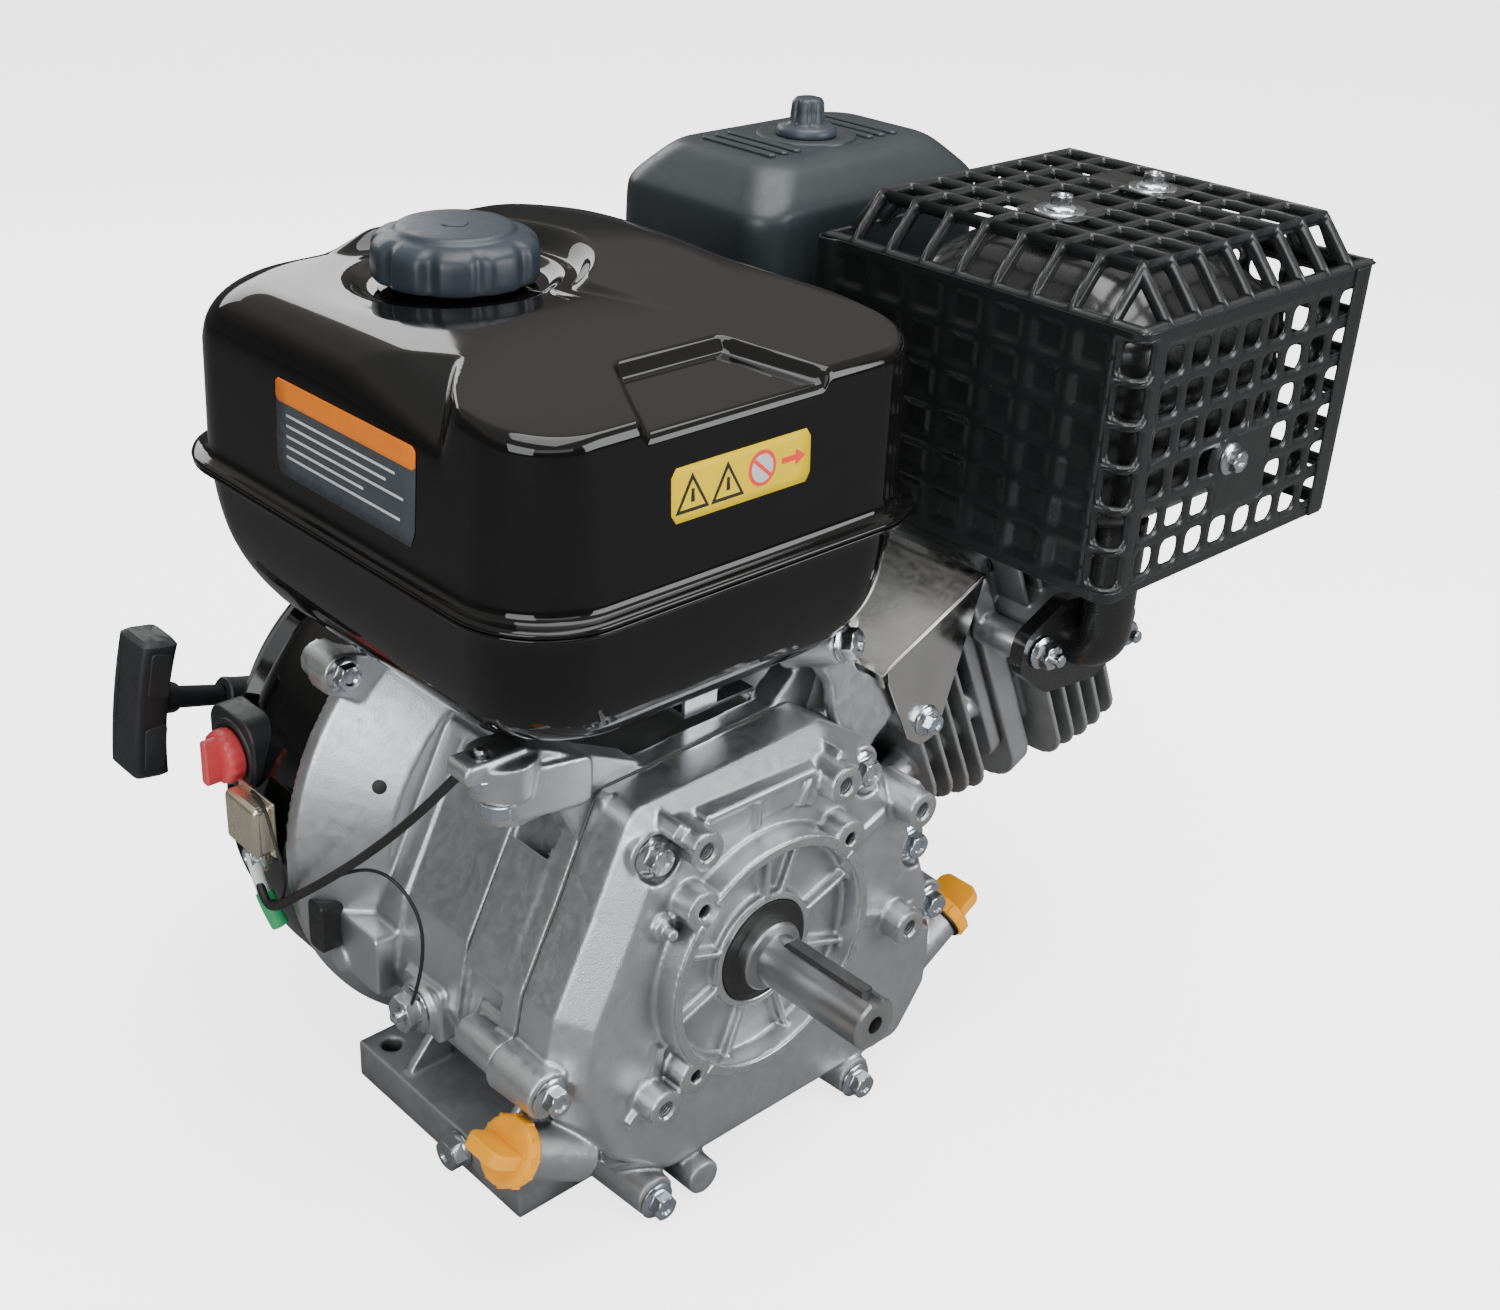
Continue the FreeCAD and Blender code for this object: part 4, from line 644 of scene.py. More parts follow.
def tank_lower():
    counts = ((24, 14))
    stations = [                          # inset, z, corner radius
        (-6.4, 198.3, 44), (-7.0, 197.4, 44.4), (-6.4, 196.4, 44), (-4.0, 196.0, 41),
        (-1.4, 195.4, 39), (0.2, 193.6, 38), (0.9, 190, 38), (1.4, 182, 38), (2.0, 174, 38),
        (3.0, 164, 39), (4.6, 154.5, 40), (7.6, 146, 42), (12.4, 138.6, 44), (19, 132.6, 46),
        (28, 128.4, 46), (40, 126.2, 44), (58, 125.6, 34), (84, 125.6, 20), (108, 125.6, 4)]
    loops = []
    for inset, z, r in stations:
        loop = tank_loop(inset, r, *counts)
        # the floor rises towards the rear
        rise = (np.clip((loop[:, 1] - 205) / 70, 0, 1) ** 1.5 * 26
                * np.clip((196 - z) / 64, 0, 1))
        loops.append(lift(loop, z + rise))
    verts, faces = skin(loops)
    o = add_mesh("tank_lower_shell", (verts, [f[::-1] for f in faces]), GLOSS,
                 replaces="fuel_tank_lower")
    subdivide(o)
    thicken(o, 1.4)
    sleeve = [(141, 4.2), (141, 8), (160, 8), (160, 4.2)]
    add_mesh("tank_brackets", join(*[lathe(sleeve, (x, 191.5, 0), Z, 28) for x in (-60, 60)]),
             GLOSS, angle=40)


def fuel_cap():
    """Cap with ten shallow scallops and a raised drop-shaped mark."""
    base_z = 282.6
    profile = [                           # radius, height, share of scallop depth
        (30.8, 10.5, 0), (30.8, 1.2, 0), (31.4, 0.2, 0), (36.2, 0.2, 0.4), (37.6, 1.4, 0.7),
        (38.0, 4, 1), (38.0, 12.5, 1), (37.4, 15.6, 0.95), (35.6, 18.0, 0.8), (32.6, 19.6, 0.5),
        (29.5, 20.2, 0.2), (27.6, 20.4, 0), (26.6, 21.8, 0), (25.6, 22.8, 0), (24.0, 23.1, 0),
        (12, 23.6, 0), (2, 23.7, 0)]
    loops = fluted(profile, (CAP_X, CAP_Y, base_z), n=160, flutes=10, depth=2.6,
                   start=0.52, end=0.95)
    subdivide(add_mesh("fuel_cap_shell", skin(loops), BLUE_GREY, body="cap",
                       replaces="fuel_cap"))
    drop = rounded([(0, 11), (6.5, 0), (5, -7), (-5, -7), (-6.5, 0)], [1, 5, 4, 4, 5], 5)
    at = frame_of((CAP_X, CAP_Y, 0), (0.75, -0.66, 0), (0.66, 0.75, 0))
    bevel(add_mesh("fuel_cap_mark", prism(drop, at, base_z + 23.2, base_z + 24.1), BLUE_GREY,
                   body="cap", angle=40), 0.3)
    add_mesh("fuel_cap_plug", peg((CAP_X, CAP_Y, 286), Z, 9, 26, 26, 40), BLUE_GREY,
             body="cap", angle=40)


def on_tank_wall(side, u, z, gap):
    """Point gap outside the left or front wall; u runs along the wall."""
    if side == "left":
        return (TANK_LEFT + wall_inset(z) - gap, u, z)
    return (u, TANK_FRONT + wall_inset(z) - gap, z)


def sticker(name, side, u0, u1, z0, z1, mat, gap=0.25, r=2.5):
    """Sticker following the wall, with corners of radius r."""
    nu, nz = 10, 6
    verts = []
    for j in range(nz + 1):
        z = z0 + (z1 - z0) * j / nz
        to_end = min(z - z0, z1 - z, r)
        cut = max(0.0, r - sqrt(max(0.0, r * r - (r - to_end) ** 2)))
        for i in range(nu + 1):
            verts.append(on_tank_wall(side, u0 + cut + (u1 - u0 - 2 * cut) * i / nu, z, gap))
    starts = [j * (nu + 1) + i for j in range(nz) for i in range(nu)]
    faces = [(a, a + 1, a + nu + 2, a + nu + 1) for a in starts]
    thicken(add_mesh(name, (verts, faces), mat), 0.18, offset=0)


def front_mark(name, outline, mat, gap):
    verts = [on_tank_wall("front", x, z, gap) for x, z in outline]
    o = add_mesh("sticker_front_" + name, (verts, [tuple(range(len(verts)))]), mat, smooth=False)
    thicken(o, 0.16, offset=0)


def stickers():
    sticker("sticker_left_panel", "left", 84, 186, 214, 256.5, INK_GREY)
    sticker("sticker_left_band", "left", 84, 186, 246.5, 256.6, INK_ORANGE, gap=0.45, r=2.2)
    for k, start in enumerate((98, 104, 92, 120, 94)):
        drop = 4.6 * k
        sticker(f"sticker_left_stripe_{k}", "left", start, 178, 241.0 - drop, 242.1 - drop,
                INK_PALE, gap=0.45, r=0.2)
    sticker("sticker_front_panel", "front", -62, 14.5, 229.5, 252.5, INK_YELLOW)
    for k, x in enumerate((-51, -32)):
        front_mark(f"tri_{k}", [(x - 9, 233), (x + 9, 233), (x, 249)], INK_BLACK, 0.42)
        front_mark(f"tri_in_{k}", [(x - 6.6, 234.6), (x + 6.6, 234.6), (x, 246)], INK_YELLOW,
                   0.58)
        front_mark(f"bar_{k}", [(x - 1.0, 237), (x + 1.0, 237), (x + 0.7, 242.5),
                                (x - 0.7, 242.5)], INK_BLACK, 0.72)
    for name, r, mat, gap in (("disc", 7.6, INK_RED, 0.42), ("disc_in", 6.0, INK_PALE, 0.58)):
        front_mark(name, [(-13 + r * cos(t), 241.5 + r * sin(t)) for t in full_turn(28)], mat,
                   gap)
    front_mark("disc_bar", [(-18, 244.8), (-17, 246), (-8, 238.2), (-9, 237)], INK_RED, 0.72)
    front_mark("arrow", [(-2, 240.4), (6, 240.4), (6, 238.2), (11.5, 241.6), (6, 245),
                         (6, 242.8), (-2, 242.8)], INK_RED, 0.42)


tank_upper()
filler_neck()
tank_lower()
fuel_cap()
stickers()


# ---------------------------------------------------------------- muffler and its guard
def formed_sheet(us, vs, kind, pos, rib, lip, corner, pillow=0.0):
    """Sheet of cells between the us and vs lines, welded where they meet.

    kind(i, j): "hole", "pillow" or "flat"; pos(u, v, d): the point d inside the sheet.
    rib: width left beside a hole; lip: depth its edge turns in; corner: its corner radius as a
    share of the cell; pillow: depth of a dished cell.
    """
    verts, faces, index = [], [], {}
    arc = 4                               # steps on each side and on each corner of a hole

    def add(p):
        key = (round(p[0], 3), round(p[1], 3), round(p[2], 3))
        if key not in index:
            index[key] = len(verts)
            verts.append(p)
        return index[key]

    def hole(u0, u1, v0, v1):
        ends = rect(u0, u1, v0, v1)
        square = [(a + (c - a) * q / (2 * arc), b + (d - b) * q / (2 * arc))
                  for (a, b), (c, d) in zip(ends, ends[1:] + ends[:1]) for q in range(2 * arc)]
        r = min(u1 - u0, v1 - v0) * corner
        rings = []
        # share of the rib crossed, share of the lip depth
        for across, depth in ((0.0, 0.0), (0.55, 0.10), (0.85, 0.45), (1.0, 1.0)):
            w = rib * across
            loop = square
            if across > 0:
                loop = round_rect(u0 + w, u1 - w, v0 + w, v1 - w, r * (0.35 + 0.65 * across),
                                  arc, arc)
            loop = np.roll(loop, -(arc // 2), axis=0)
            rings.append([add(pos(a, b, lip * depth)) for a, b in loop])
        n = len(square)
        for inner, outer in zip(rings[1:], rings):
            for q in range(n):
                s = (q + 1) % n
                face = (outer[q], outer[s], inner[s], inner[q])
                if len(set(face)) == 4:
                    faces.append(face)

    def panel(u0, u1, v0, v1, depth):
        g = 10
        grid = []
        for b in range(g + 1):
            row = []
            for a in range(g + 1):
                fu, fv = a / g, b / g
                d = depth * float(smooth_step(0.06, 0.25, min(fu, 1 - fu)))
                d *= float(smooth_step(0.05, 0.22, min(fv, 1 - fv)))
                row.append(add(pos(u0 + (u1 - u0) * fu, v0 + (v1 - v0) * fv, d)))
            grid.append(row)
        for low, high in zip(grid, grid[1:]):
            for a in range(g):
                faces.append((low[a], low[a + 1], high[a + 1], high[a]))

    for i in range(len(us) - 1):
        for j in range(len(vs) - 1):
            cell = (us[i], us[i + 1], vs[j], vs[j + 1])
            if kind(i, j) == "hole":
                hole(*cell)
            else:
                panel(*cell, pillow if kind(i, j) == "pillow" else 0.0)
    return verts, faces


def wall_along(path):
    """Position function of an upright wall over a plan path, and the path length."""
    path = np.array(path, float)
    seg = np.hypot(*(path[1:] - path[:-1]).T)
    length = np.concatenate([[0], np.cumsum(seg)])

    def inward(k):
        k = min(max(k, 0), len(seg) - 1)
        e = (path[k + 1] - path[k]) / seg[k]
        return np.array([-e[1], e[0]])

    def at(u, v, d):
        u = min(max(u, 0), length[-1])
        k = min(int(np.searchsorted(length, u, side="right") - 1), len(seg) - 1)
        t = (u - length[k]) / seg[k]
        p = path[k] + (path[k + 1] - path[k]) * t
        # inward normal, smoothed over the neighbouring segments
        a = (inward(k - 1) * max(0, 0.5 - t) + inward(k) * (1 - abs(t - 0.5))
             + inward(k + 1) * max(0, t - 0.5))
        a /= np.linalg.norm(a)
        return (p[0] + a[0] * d, p[1] + a[1] * d, v)
    return at, length[-1]


def guard_left():
    """Dished left wall, from its curled rear edge round the front left corner."""
    last = (G_LEFT + 15, G_FRONT)
    path = [(G_LEFT + 7, G_REAR - 1), (G_LEFT + 1.5, G_REAR + 1.5), (G_LEFT - 3.5, G_REAR - 2),
            (G_LEFT - 3.0, G_REAR - 8), (G_LEFT, G_REAR - 13)]
    path += [(G_LEFT, y) for y in np.linspace(G_REAR - 20, G_FRONT + 14, 20)]
    path += corner_arc((G_LEFT, G_REAR), (G_LEFT, G_FRONT), last, 13, 10) + [last]
    at, length = wall_along(path)
    end = length - 2.0
    us = [0, 21] + [21 + (end - 21 - 24) * k / 7 for k in range(1, 8)] + [end - 1.5, end + 2.0]
    us = [round(u, 3) for u in us]
    zs = [G_FOOT] + [G_FOOT + 5 + 20.2 * k for k in range(7)] + [G_EAVE + 1.5]

    def kind(i, j):
        if j in (0, len(zs) - 2) or i == 0 or i >= len(us) - 2:
            return "flat"
        return "hole" if i == len(us) - 3 else "pillow"
    return formed_sheet(us, zs, kind, at, rib=1.7, lip=2.4, corner=0.24, pillow=1.9)


def guard_front(zs):
    us = [G_LEFT + 12.2] + [G_LEFT + 18 + 20.1 * k for k in range(9)] + [G_RIGHT - 2]
    us = [round(u, 3) for u in us]

    def kind(i, j):
        border = j in (0, len(zs) - 2) or i == 0 or i >= 9
        screw_pad = i in (4, 5) and j in (2, 3)
        return "flat" if border or screw_pad else "hole"
    return formed_sheet(us, zs, kind, lambda u, v, d: (u, G_FRONT + 1.2 + d, v),
                        rib=2.9, lip=1.3, corner=0.24)


def guard_right(zs):
    """Waved right wall, starting round the front right corner."""
    first = (G_RIGHT - 16, G_FRONT)
    path = [first] + corner_arc(first, (G_RIGHT, G_FRONT), (G_RIGHT, G_REAR), 10, 8)
    path += [(G_RIGHT, y) for y in np.linspace(G_FRONT + 14, G_REAR, 30)]
    on_wall, length = wall_along(path)

    def at(u, v, d):
        x, y, z = on_wall(u, v, d)
        wave = 1.5 * sin((v - G_FOOT) / 19.6 * 2 * pi)
        return (x + (wave if u > 16 else wave * max(0, (u - 6) / 10)), y, z)
    us = [0, 10] + [10 + (length - 14) * k / 8 for k in range(1, 9)] + [length]

    def kind(i, j):
        return "flat" if j in (0, len(zs) - 2) or i in (0, len(us) - 2) else "hole"
    return formed_sheet(us, zs, kind, at, rib=3.0, lip=1.6, corner=0.24)


def guard_hood():
    """Truncated pyramid of deep ribs, with flat cells for the two screw pads."""
    def lines(low, high):
        inner = low + HOOD_SLOPE
        step = high - low - 2 * HOOD_SLOPE
        return [low, inner] + [inner + step * k / 7 for k in range(1, 8)] + [high]

    def at(u, v, d):
        gap_x, gap_y = min(u - G_LEFT, G_RIGHT - u), min(v - G_FRONT, G_REAR - v)
        gap = min(gap_x, gap_y)
        height = (G_EAVE + 1.0
                  + (G_TOP - G_EAVE - 1.0) * min(1.0, max(0.0, gap) / HOOD_SLOPE) ** 0.92)
        # inside is down on the top, and sideways as well on the slopes
        nx = ny = 0.0
        if gap < HOOD_SLOPE * 0.98:
            if gap_x <= gap_y:
                nx = 0.8 if u - G_LEFT < G_RIGHT - u else -0.8
            if gap_y <= gap_x:
                ny = 0.8 if v - G_FRONT < G_REAR - v else -0.8
        nz = -1.0 if gap > 2 else -0.15
        return (u + nx * d, v + ny * d, height + nz * d)

    def kind(i, j):
        return "flat" if i in (3, 6) and j in (4, 5) else "hole"
    return formed_sheet(lines(G_LEFT, G_RIGHT), lines(G_FRONT, G_REAR), kind, at, rib=1.55,
                        lip=4.2, corner=0.13)


def muffler_guard():
    zs = [G_FOOT] + [G_FOOT + 4.5 + 19.6 * k for k in range(7)] + [G_EAVE + 1.0]
    walls = join(guard_left(), guard_front(zs), guard_right(zs))
    thicken(add_mesh("muffler_guard_walls", walls, SATIN, replaces="muffler_guard", angle=50),
            1.5, offset=0)
    thicken(add_mesh("muffler_guard_hood", guard_hood(), SATIN, angle=60), 1.5, offset=0)


def muffler():
    """Pressed box with broad rounded shoulders."""
    stations = [                          # inset, z, corner radius
        (22, 168.3, 14), (12, 169, 20), (3, 176, 24), (0.6, 184, 24), (0, 200, 24),
        (0, 226, 24), (0, 228, 24), (1.6, 229, 23), (1.6, 231, 23), (0, 232, 24), (0, 256, 24),
        (1.5, 263, 25), (6, 270, 26), (17, 280, 28), (24, 285.4, 28), (32, 287.4, 26),
        (48, 288.2, 20), (60, 288.4, 6)]
    loops = [lift(round_rect(168 + e, 302 - e, -31 + e, 122 - e, r, 10, 8), z)
             for e, z, r in stations]
    subdivide(add_mesh("muffler_shell", skin(loops, cap_start=True), MUFFLER,
                       replaces="muffler_body"), name="s")
    add_mesh("muffler_outlet", turned_ring([(299, 9), (321, 9), (321, 11), (299, 11)],
                                           (0, 60, 210), X, 32), MUFFLER, angle=40)


def guard_fixings():
    shapes = [screw((x, GUARD_SCREWS_Y, G_TOP + 0.9), Z, shank=10) for x in GUARD_SCREWS_X]
    shapes.append(screw((247, G_FRONT + 0.3, 199), -Y, shank=8))
    shapes += [lathe([(-0.1, 13), (0.9, 12), (1.1, 9), (1.2, 0)], (x, GUARD_SCREWS_Y, G_TOP), Z,
                     32) for x in GUARD_SCREWS_X]
    add_mesh("guard_screws", join(*shapes), ZINC, replaces="sheet_metal_screws", angle=40)
    add_mesh("guard_front_pad", lathe([(-1.6, 14.5), (-0.3, 13.2), (0.4, 10.5), (0.5, 0)],
                                      (247, G_FRONT + 0.7, 199), -Y, 40), SATIN, angle=50)
    pads = [prism(rounded(rect(x - 15, x + 15, 40, 75), 6), PLAN, G_TOP - 1.0, G_TOP + 0.3)
            for x in GUARD_SCREWS_X]
    bevel(add_mesh("guard_top_pads", join(*pads), SATIN, angle=40), 0.5)


muffler_guard()
muffler()
guard_fixings()

# ---------------------------------------------------------------- finishes of the CAD pieces
# pieces not listed are cast aluminium
FINISHES = {
    STEEL: "crankshaft crank_gear camshaft valve_lifters pushrods rocker_arms valve_springs"
           " valves piston_pin main_bearings",
    DARK: "shaft_key starter_cup",
    MACHINED: "piston",
    IRON: "piston_rings ignition_coil",
    RUBBER: "oil_seals carb_insulator wiring",
    ZINC: "oil_level_switch flywheel_nut spark_plug head_bolts control_bracket throttle_lever"
          " exhaust_nuts drain_plugs flange_bolts sheet_metal_screws",
    GASKET: "gasket_set",
    PLASTIC: "choke_lever fuel_valve_lever fuel_strainer recoil_reel starter_handle"
             " switch_housing",
    CLEANER: "air_cleaner_base air_cleaner_cover",
    FOAM: "air_filter_element",
    BLUE_GREY: "air_cleaner_knob fuel_cap",
    MUFFLER: "exhaust_pipe muffler_body",
    STAINLESS: "heat_shield",
    GLOSS: "fan_cover recoil_housing fuel_tank_upper fuel_tank_lower",
    ROPE: "starter_rope",
    RED: "switch_knob",
    GOLD: "oil_alert_unit",
    YELLOW: "dipstick_left dipstick_right",
    SATIN: "muffler_guard",
}


def finish_nodes():
    finish = {piece: mat for mat, pieces in FINISHES.items() for piece in pieces.split()}
    for name, node in NODES.items():
        node.data.materials.clear()
        node.data.materials.append(finish.get(name, CAST))
        for p in node.data.polygons:
            p.use_smooth = True
            p.material_index = 0
        sharp_by_angle(node.data, 32)


finish_nodes()


# ---------------------------------------------------------------- castings
def casting(node, extras, voxel, smoothing, mats, pick):
    """Fuse the CAD piece and the extra shapes by a voxel remesh, softened into one casting.

    pick(centres in mm) gives each face its material slot.
    """
    name = node + "_casting"
    mesh = NODES[node].data.copy()
    mesh.name = name
    with editing(mesh) as bm:
        bmesh.ops.remove_doubles(bm, verts=bm.verts, dist=1e-6)
        for verts, faces in extras:
            new = [bm.verts.new([c * MM for c in v]) for v in verts]
            for f in faces:
                bm.faces.new([new[i] for i in f])
        bm.normal_update()
    o = link(name, mesh)
    remesh = o.modifiers.new("vox", "REMESH")
    remesh.mode = "VOXEL"
    remesh.voxel_size = voxel * MM * 1.0
    soften = o.modifiers.new("sm", "SMOOTH")
    soften.factor = 0.5
    soften.iterations = smoothing
    graph = bpy.context.evaluated_depsgraph_get()
    graph.update()
    mesh = bpy.data.meshes.new_from_object(o.evaluated_get(graph), depsgraph=graph)
    o.modifiers.clear()
    o.data = mesh
    mesh.name = name
    mesh.materials.clear()
    for mat in mats:
        mesh.materials.append(mat)
    n = len(mesh.polygons)
    centres = np.zeros(n * 3)
    mesh.polygons.foreach_get("center", centres)
    slots = pick(centres.reshape(-1, 3) / MM)
    mesh.polygons.foreach_set("material_index", slots.astype(np.int32))
    mesh.polygons.foreach_set("use_smooth", np.ones(n, bool))
    mesh.update()
    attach(o, "housing")
    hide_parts(node)
    return o


def plate(outline, y0, y1, r=0):
    """Plate with an x, z outline between y0 and y1."""
    return prism(rounded(outline, r) if r else outline, FRONT, -y1, -y0)


def rib(a, b, w, y0, y1, w_end=None):
    """Straight rib from a to b in x, z, of width w, or w tapering to w_end."""
    a, b = np.array(a, float), np.array(b, float)
    d = (b - a) / np.linalg.norm(b - a)
    t = np.array([-d[1], d[0]])
    w_end = w if w_end is None else w_end
    return plate([tuple(a + t * w / 2), tuple(a - t * w / 2), tuple(b - t * w_end / 2),
                  tuple(b + t * w_end / 2)], y0, y1)


def boss(x, z, r_rear, r_front, y0, y1):
    return peg((x, y1, z), -Y, y1 - y0, r_rear, r_front, 40)


def cover_extras():
    rim = [(-64.8, 89.5), (49, 93.5), (76, 76.5), (119.5, 13), (139.3, -40), (139.3, -87),
           (116.6, -119.4), (-51, -119.4), (-90, -90.6), (-112.4, -39.5), (-105.5, 0),
           (-84.8, 43)]                   # x, z
    inner_ribs = [((-30, 66), (-41, 80)), ((28, 66), (36, 80)), ((62, 30), (84, 38)),
                  ((66, -16), (86, -24)), ((-58, -30), (-62, -50))]
    outer_ribs = [((-46, 77), (-56, 87)), ((40, 77), (48, 88)), ((97, 41), (106, 48)),
                  ((97, -28), (112, -30)), ((-64, -56), (-76, -66))]
    shapes = [rib(a, b, 6.0, 11.5, 24, 7.0) for a, b in inner_ribs]
    # framed pads between the upper bosses
    shapes += [rib((-37, 84), (31, 84), 4.0, 10.0, 22),
               rib((-38, 82), (-29, 68), 3.6, 10.0, 18),
               rib((31, 82), (22, 68), 3.6, 10.0, 18),
               rib((-4, 66), (-4, 84), 3.2, 10.8, 18),
               plate([(-34, 70), (-8, 70), (-8, 80), (-36, 80)], 12.0, 15, 2.5),
               plate([(0, 70), (20, 70), (27, 80), (0, 80)], 12.0, 15, 2.5)]
    # ribs from the bosses to the rim
    shapes += [rib(a, b, 9.0, 9.0, 30, 8.0) for a, b in outer_ribs]
    # round boss under the lower edge, then a small stepped stub
    shapes += [boss(-31, -121, 9.8, 9.2, 6.0, 40), rib((-31, -121), (-31, -104), 15, 16, 30),
               boss(-60.5, 37.7, 6.6, 6.0, 9.0, 18), boss(-60.5, 37.7, 3.2, 3.0, 3.0, 18)]
    shapes += [boss(x, z, 13.2, 11.8, 20.2, 50) for x, z in COVER_SCREWS]
    shapes += [boss(x, -119, 12.4, 10.6, 10.2, 50) for x in FOOT_SCREWS_X]
    # shallow step along the rim flange
    shapes += [rib(rim[k - 1], rim[k], 5.0, 43.5, 50, 5.0) for k in range(len(rim))]
    return shapes


def case_extras():
    stub_dir = Vector((-0.72, -0.66, 0.2))

    def ear_frame(a, b, c=0.0):
        return (EAR - EAR_DIR * 6 + Vector((-0.52, 0.05, 0.85)).normalized() * a
                + Vector((0.85, 0.1, 0.52)).normalized() * b - EAR_DIR * c)
    # screw bosses behind the joint
    shapes = [peg((x, 51.2, z), Y, 26, 10.5, 9.0, 32, tip=2)
              for x, z in COVER_SCREWS + [(x, -112) for x in FOOT_SCREWS_X]]
    return shapes + [
        # stepped left wall
        plate([(-61, 89), (-82.5, 43), (-103.4, 0), (-110.6, -39), (-90, -88), (-70, -100),
               (-60, -60), (-60, 60)], 97, 164, 4),
        plate([(-63, 86), (-84.5, 43), (-105.4, 0), (-112.0, -39), (-108, -60), (-80, -40),
               (-60, 60)], 146, 170, 4),
        # block for the wires and small seats on the left
        prism(rounded(rect(146, 178, -52, -19), 3), SIDE, -122, -86),
        peg((-124.5, 178, -46), -X, -26, 7.5, 8.5, 24),
        peg((-117.2, 122, -46), X, 16, 13.0, 15.5, 32),
        prism(rounded([(106, -62), (138, -58), (138, -32), (106, -30)], 4), SIDE, -113.5, -90),
        peg(Vector((-110, 189.5, 33)) + stub_dir.normalized(), stub_dir, -14, 5.6, 6.4, 24),
        # raised edges of the strip behind the joint
        plate([(-84, 52), (-80, 60), (-98, 10), (-106, -10), (-110, -6), (-102, 14)], 63, 92),
        plate([(-106, -24), (-113, -34), (-100, -70), (-94, -66)], 63, 84),
        # rear ear that carries the tank
        plate([(-92, 84), (-118, 98), (-121, 110), (-109, 118), (-78, 104)], 185, 198, 4),
        peg((-110, 182, 108), Y, 22, 9.5, 9.5, 28),
        plate([(-70, 118), (-52, 118), (-50, 90), (-80, 90)], 184, 199, 5),
        plate([(-60, 112), (-60, 104), (-112, 104), (-112, 112)], 186, 197, 3),
        # round wall under the tank
        peg((-86, 92, 96), Vector((0.2, -0.1, -1)), 26, 16, 18, 28),
        # foot gussets
        *[plate([(-78, -110), (-104, -110), (-102, -107), (-84, -86), (-76, -86)],
                y - 2.6, y + 2.6) for y in (78, 150)],
        # front left tank seat
        peg((-111, 60, 105), Z, 18, 14.5, 16.5, 32, tip=2),
        plate([(-112, 94), (-122, 108), (-118, 120), (-70, 112), (-70, 88)], 48, 74, 5),
        # front right tank ear
        peg(EAR, -EAR_DIR, 30, 10.0, 12.5, 30),
        prism(rounded([(0, 9.5), (-26, 6), (-70, 26), (-70, -30), (-20, -10), (0, -9.5)], 3),
              ear_frame, 0.0, 7.0)]


def along_cylinder(centres):
    return centres[:, 0] * COS_LEAN + centres[:, 2] * SIN_LEAN


def pick_cover(centres):
    return (centres[:, 2] < -108).astype(int)


def pick_case(centres):
    s = along_cylinder(centres)
    slots = np.zeros(len(centres), int)
    slots[(s > 139) & (s < 179) & (centres[:, 2] > -60)] = 2
    slots[centres[:, 2] < -109.5] = 1
    return slots


def pick_head(centres):
    s = along_cylinder(centres)
    return ((s > 214.5) & (s < 271.5)).astype(int)


casting("crankcase_cover", cover_extras(), voxel=1.15, smoothing=3, mats=[CAST, FOOT],
        pick=pick_cover)
crankcase = casting("crankcase", case_extras(), voxel=1.25, smoothing=2,
                    mats=[CAST, FOOT, FINS], pick=pick_case)
casting("cylinder_head", [], voxel=1.1, smoothing=2, mats=[CAST, FINS], pick=pick_head)


# ---------------------------------------------------------------- machined faces and threads
def machined_ring(name, x, z, y, r0, r1, depth, chamfer=0.7):
    """Annular face a hair proud of the raw casting, with its bore."""
    t = 0.35
    profile = [(-0.3, r1), (t - 0.12, r1), (t, r1 - 0.25), (t, r0 + chamfer), (t - chamfer, r0),
               (-depth, r0), (-depth, r0 + 0.2), (-0.3, r0 + chamfer + 0.6)]
    add_mesh(name, turned_ring(profile, (x, y, z), -Y, 64), MACHINED, angle=30)


def ring_sector(r0, r1, a0, a1):
    n = 40
    outline = [(r * cos(start + (end - start) * k / n), r * sin(start + (end - start) * k / n))
               for r, start, end in ((r1, a0, a1), (r0, a1, a0)) for k in range(n + 1)]
    return prism(outline, FRONT, -0.6, 0.8)


def machined_faces():
    gap = 5.4                             # degrees left open each side of a lug
    sectors = [ring_sector(57.2, 61.6, radians(90 * k + 45 + gap), radians(90 * k + 135 - gap))
               for k in range(4)]
    bevel(add_mesh("cover_ring_face", join(*sectors), MACHINED, angle=30), 0.25, segments=1)
    for k, (x, z) in enumerate([(46, 46), (-46, 46), (-46, -46), (46, -46)]):
        machined_ring(f"cover_lug_face_{k}", x, z, 0, 3.4, 9.2, depth=14)
    for k, (x, z) in enumerate(TAPPED_BOSSES):
        machined_ring(f"cover_boss_face_{k}", x, z, 0, 4.25, 9.2, depth=18, chamfer=1.0)
    machined_ring("seal_boss_face", 0, 0, 7, 26.1, 29.6, depth=3)
    thread = []
    for i in range(14):
        thread += [(-1.6 - i * 1.25, 4.22), (-2.2 - i * 1.25, 3.75)]
    thread.append((-19.4, 0))
    for k, (x, z) in enumerate(TAPPED_BOSSES):
        add_mesh(f"boss_thread_{k}", lathe(thread, (x, 0, z), -Y, 28), IRON, angle=50)


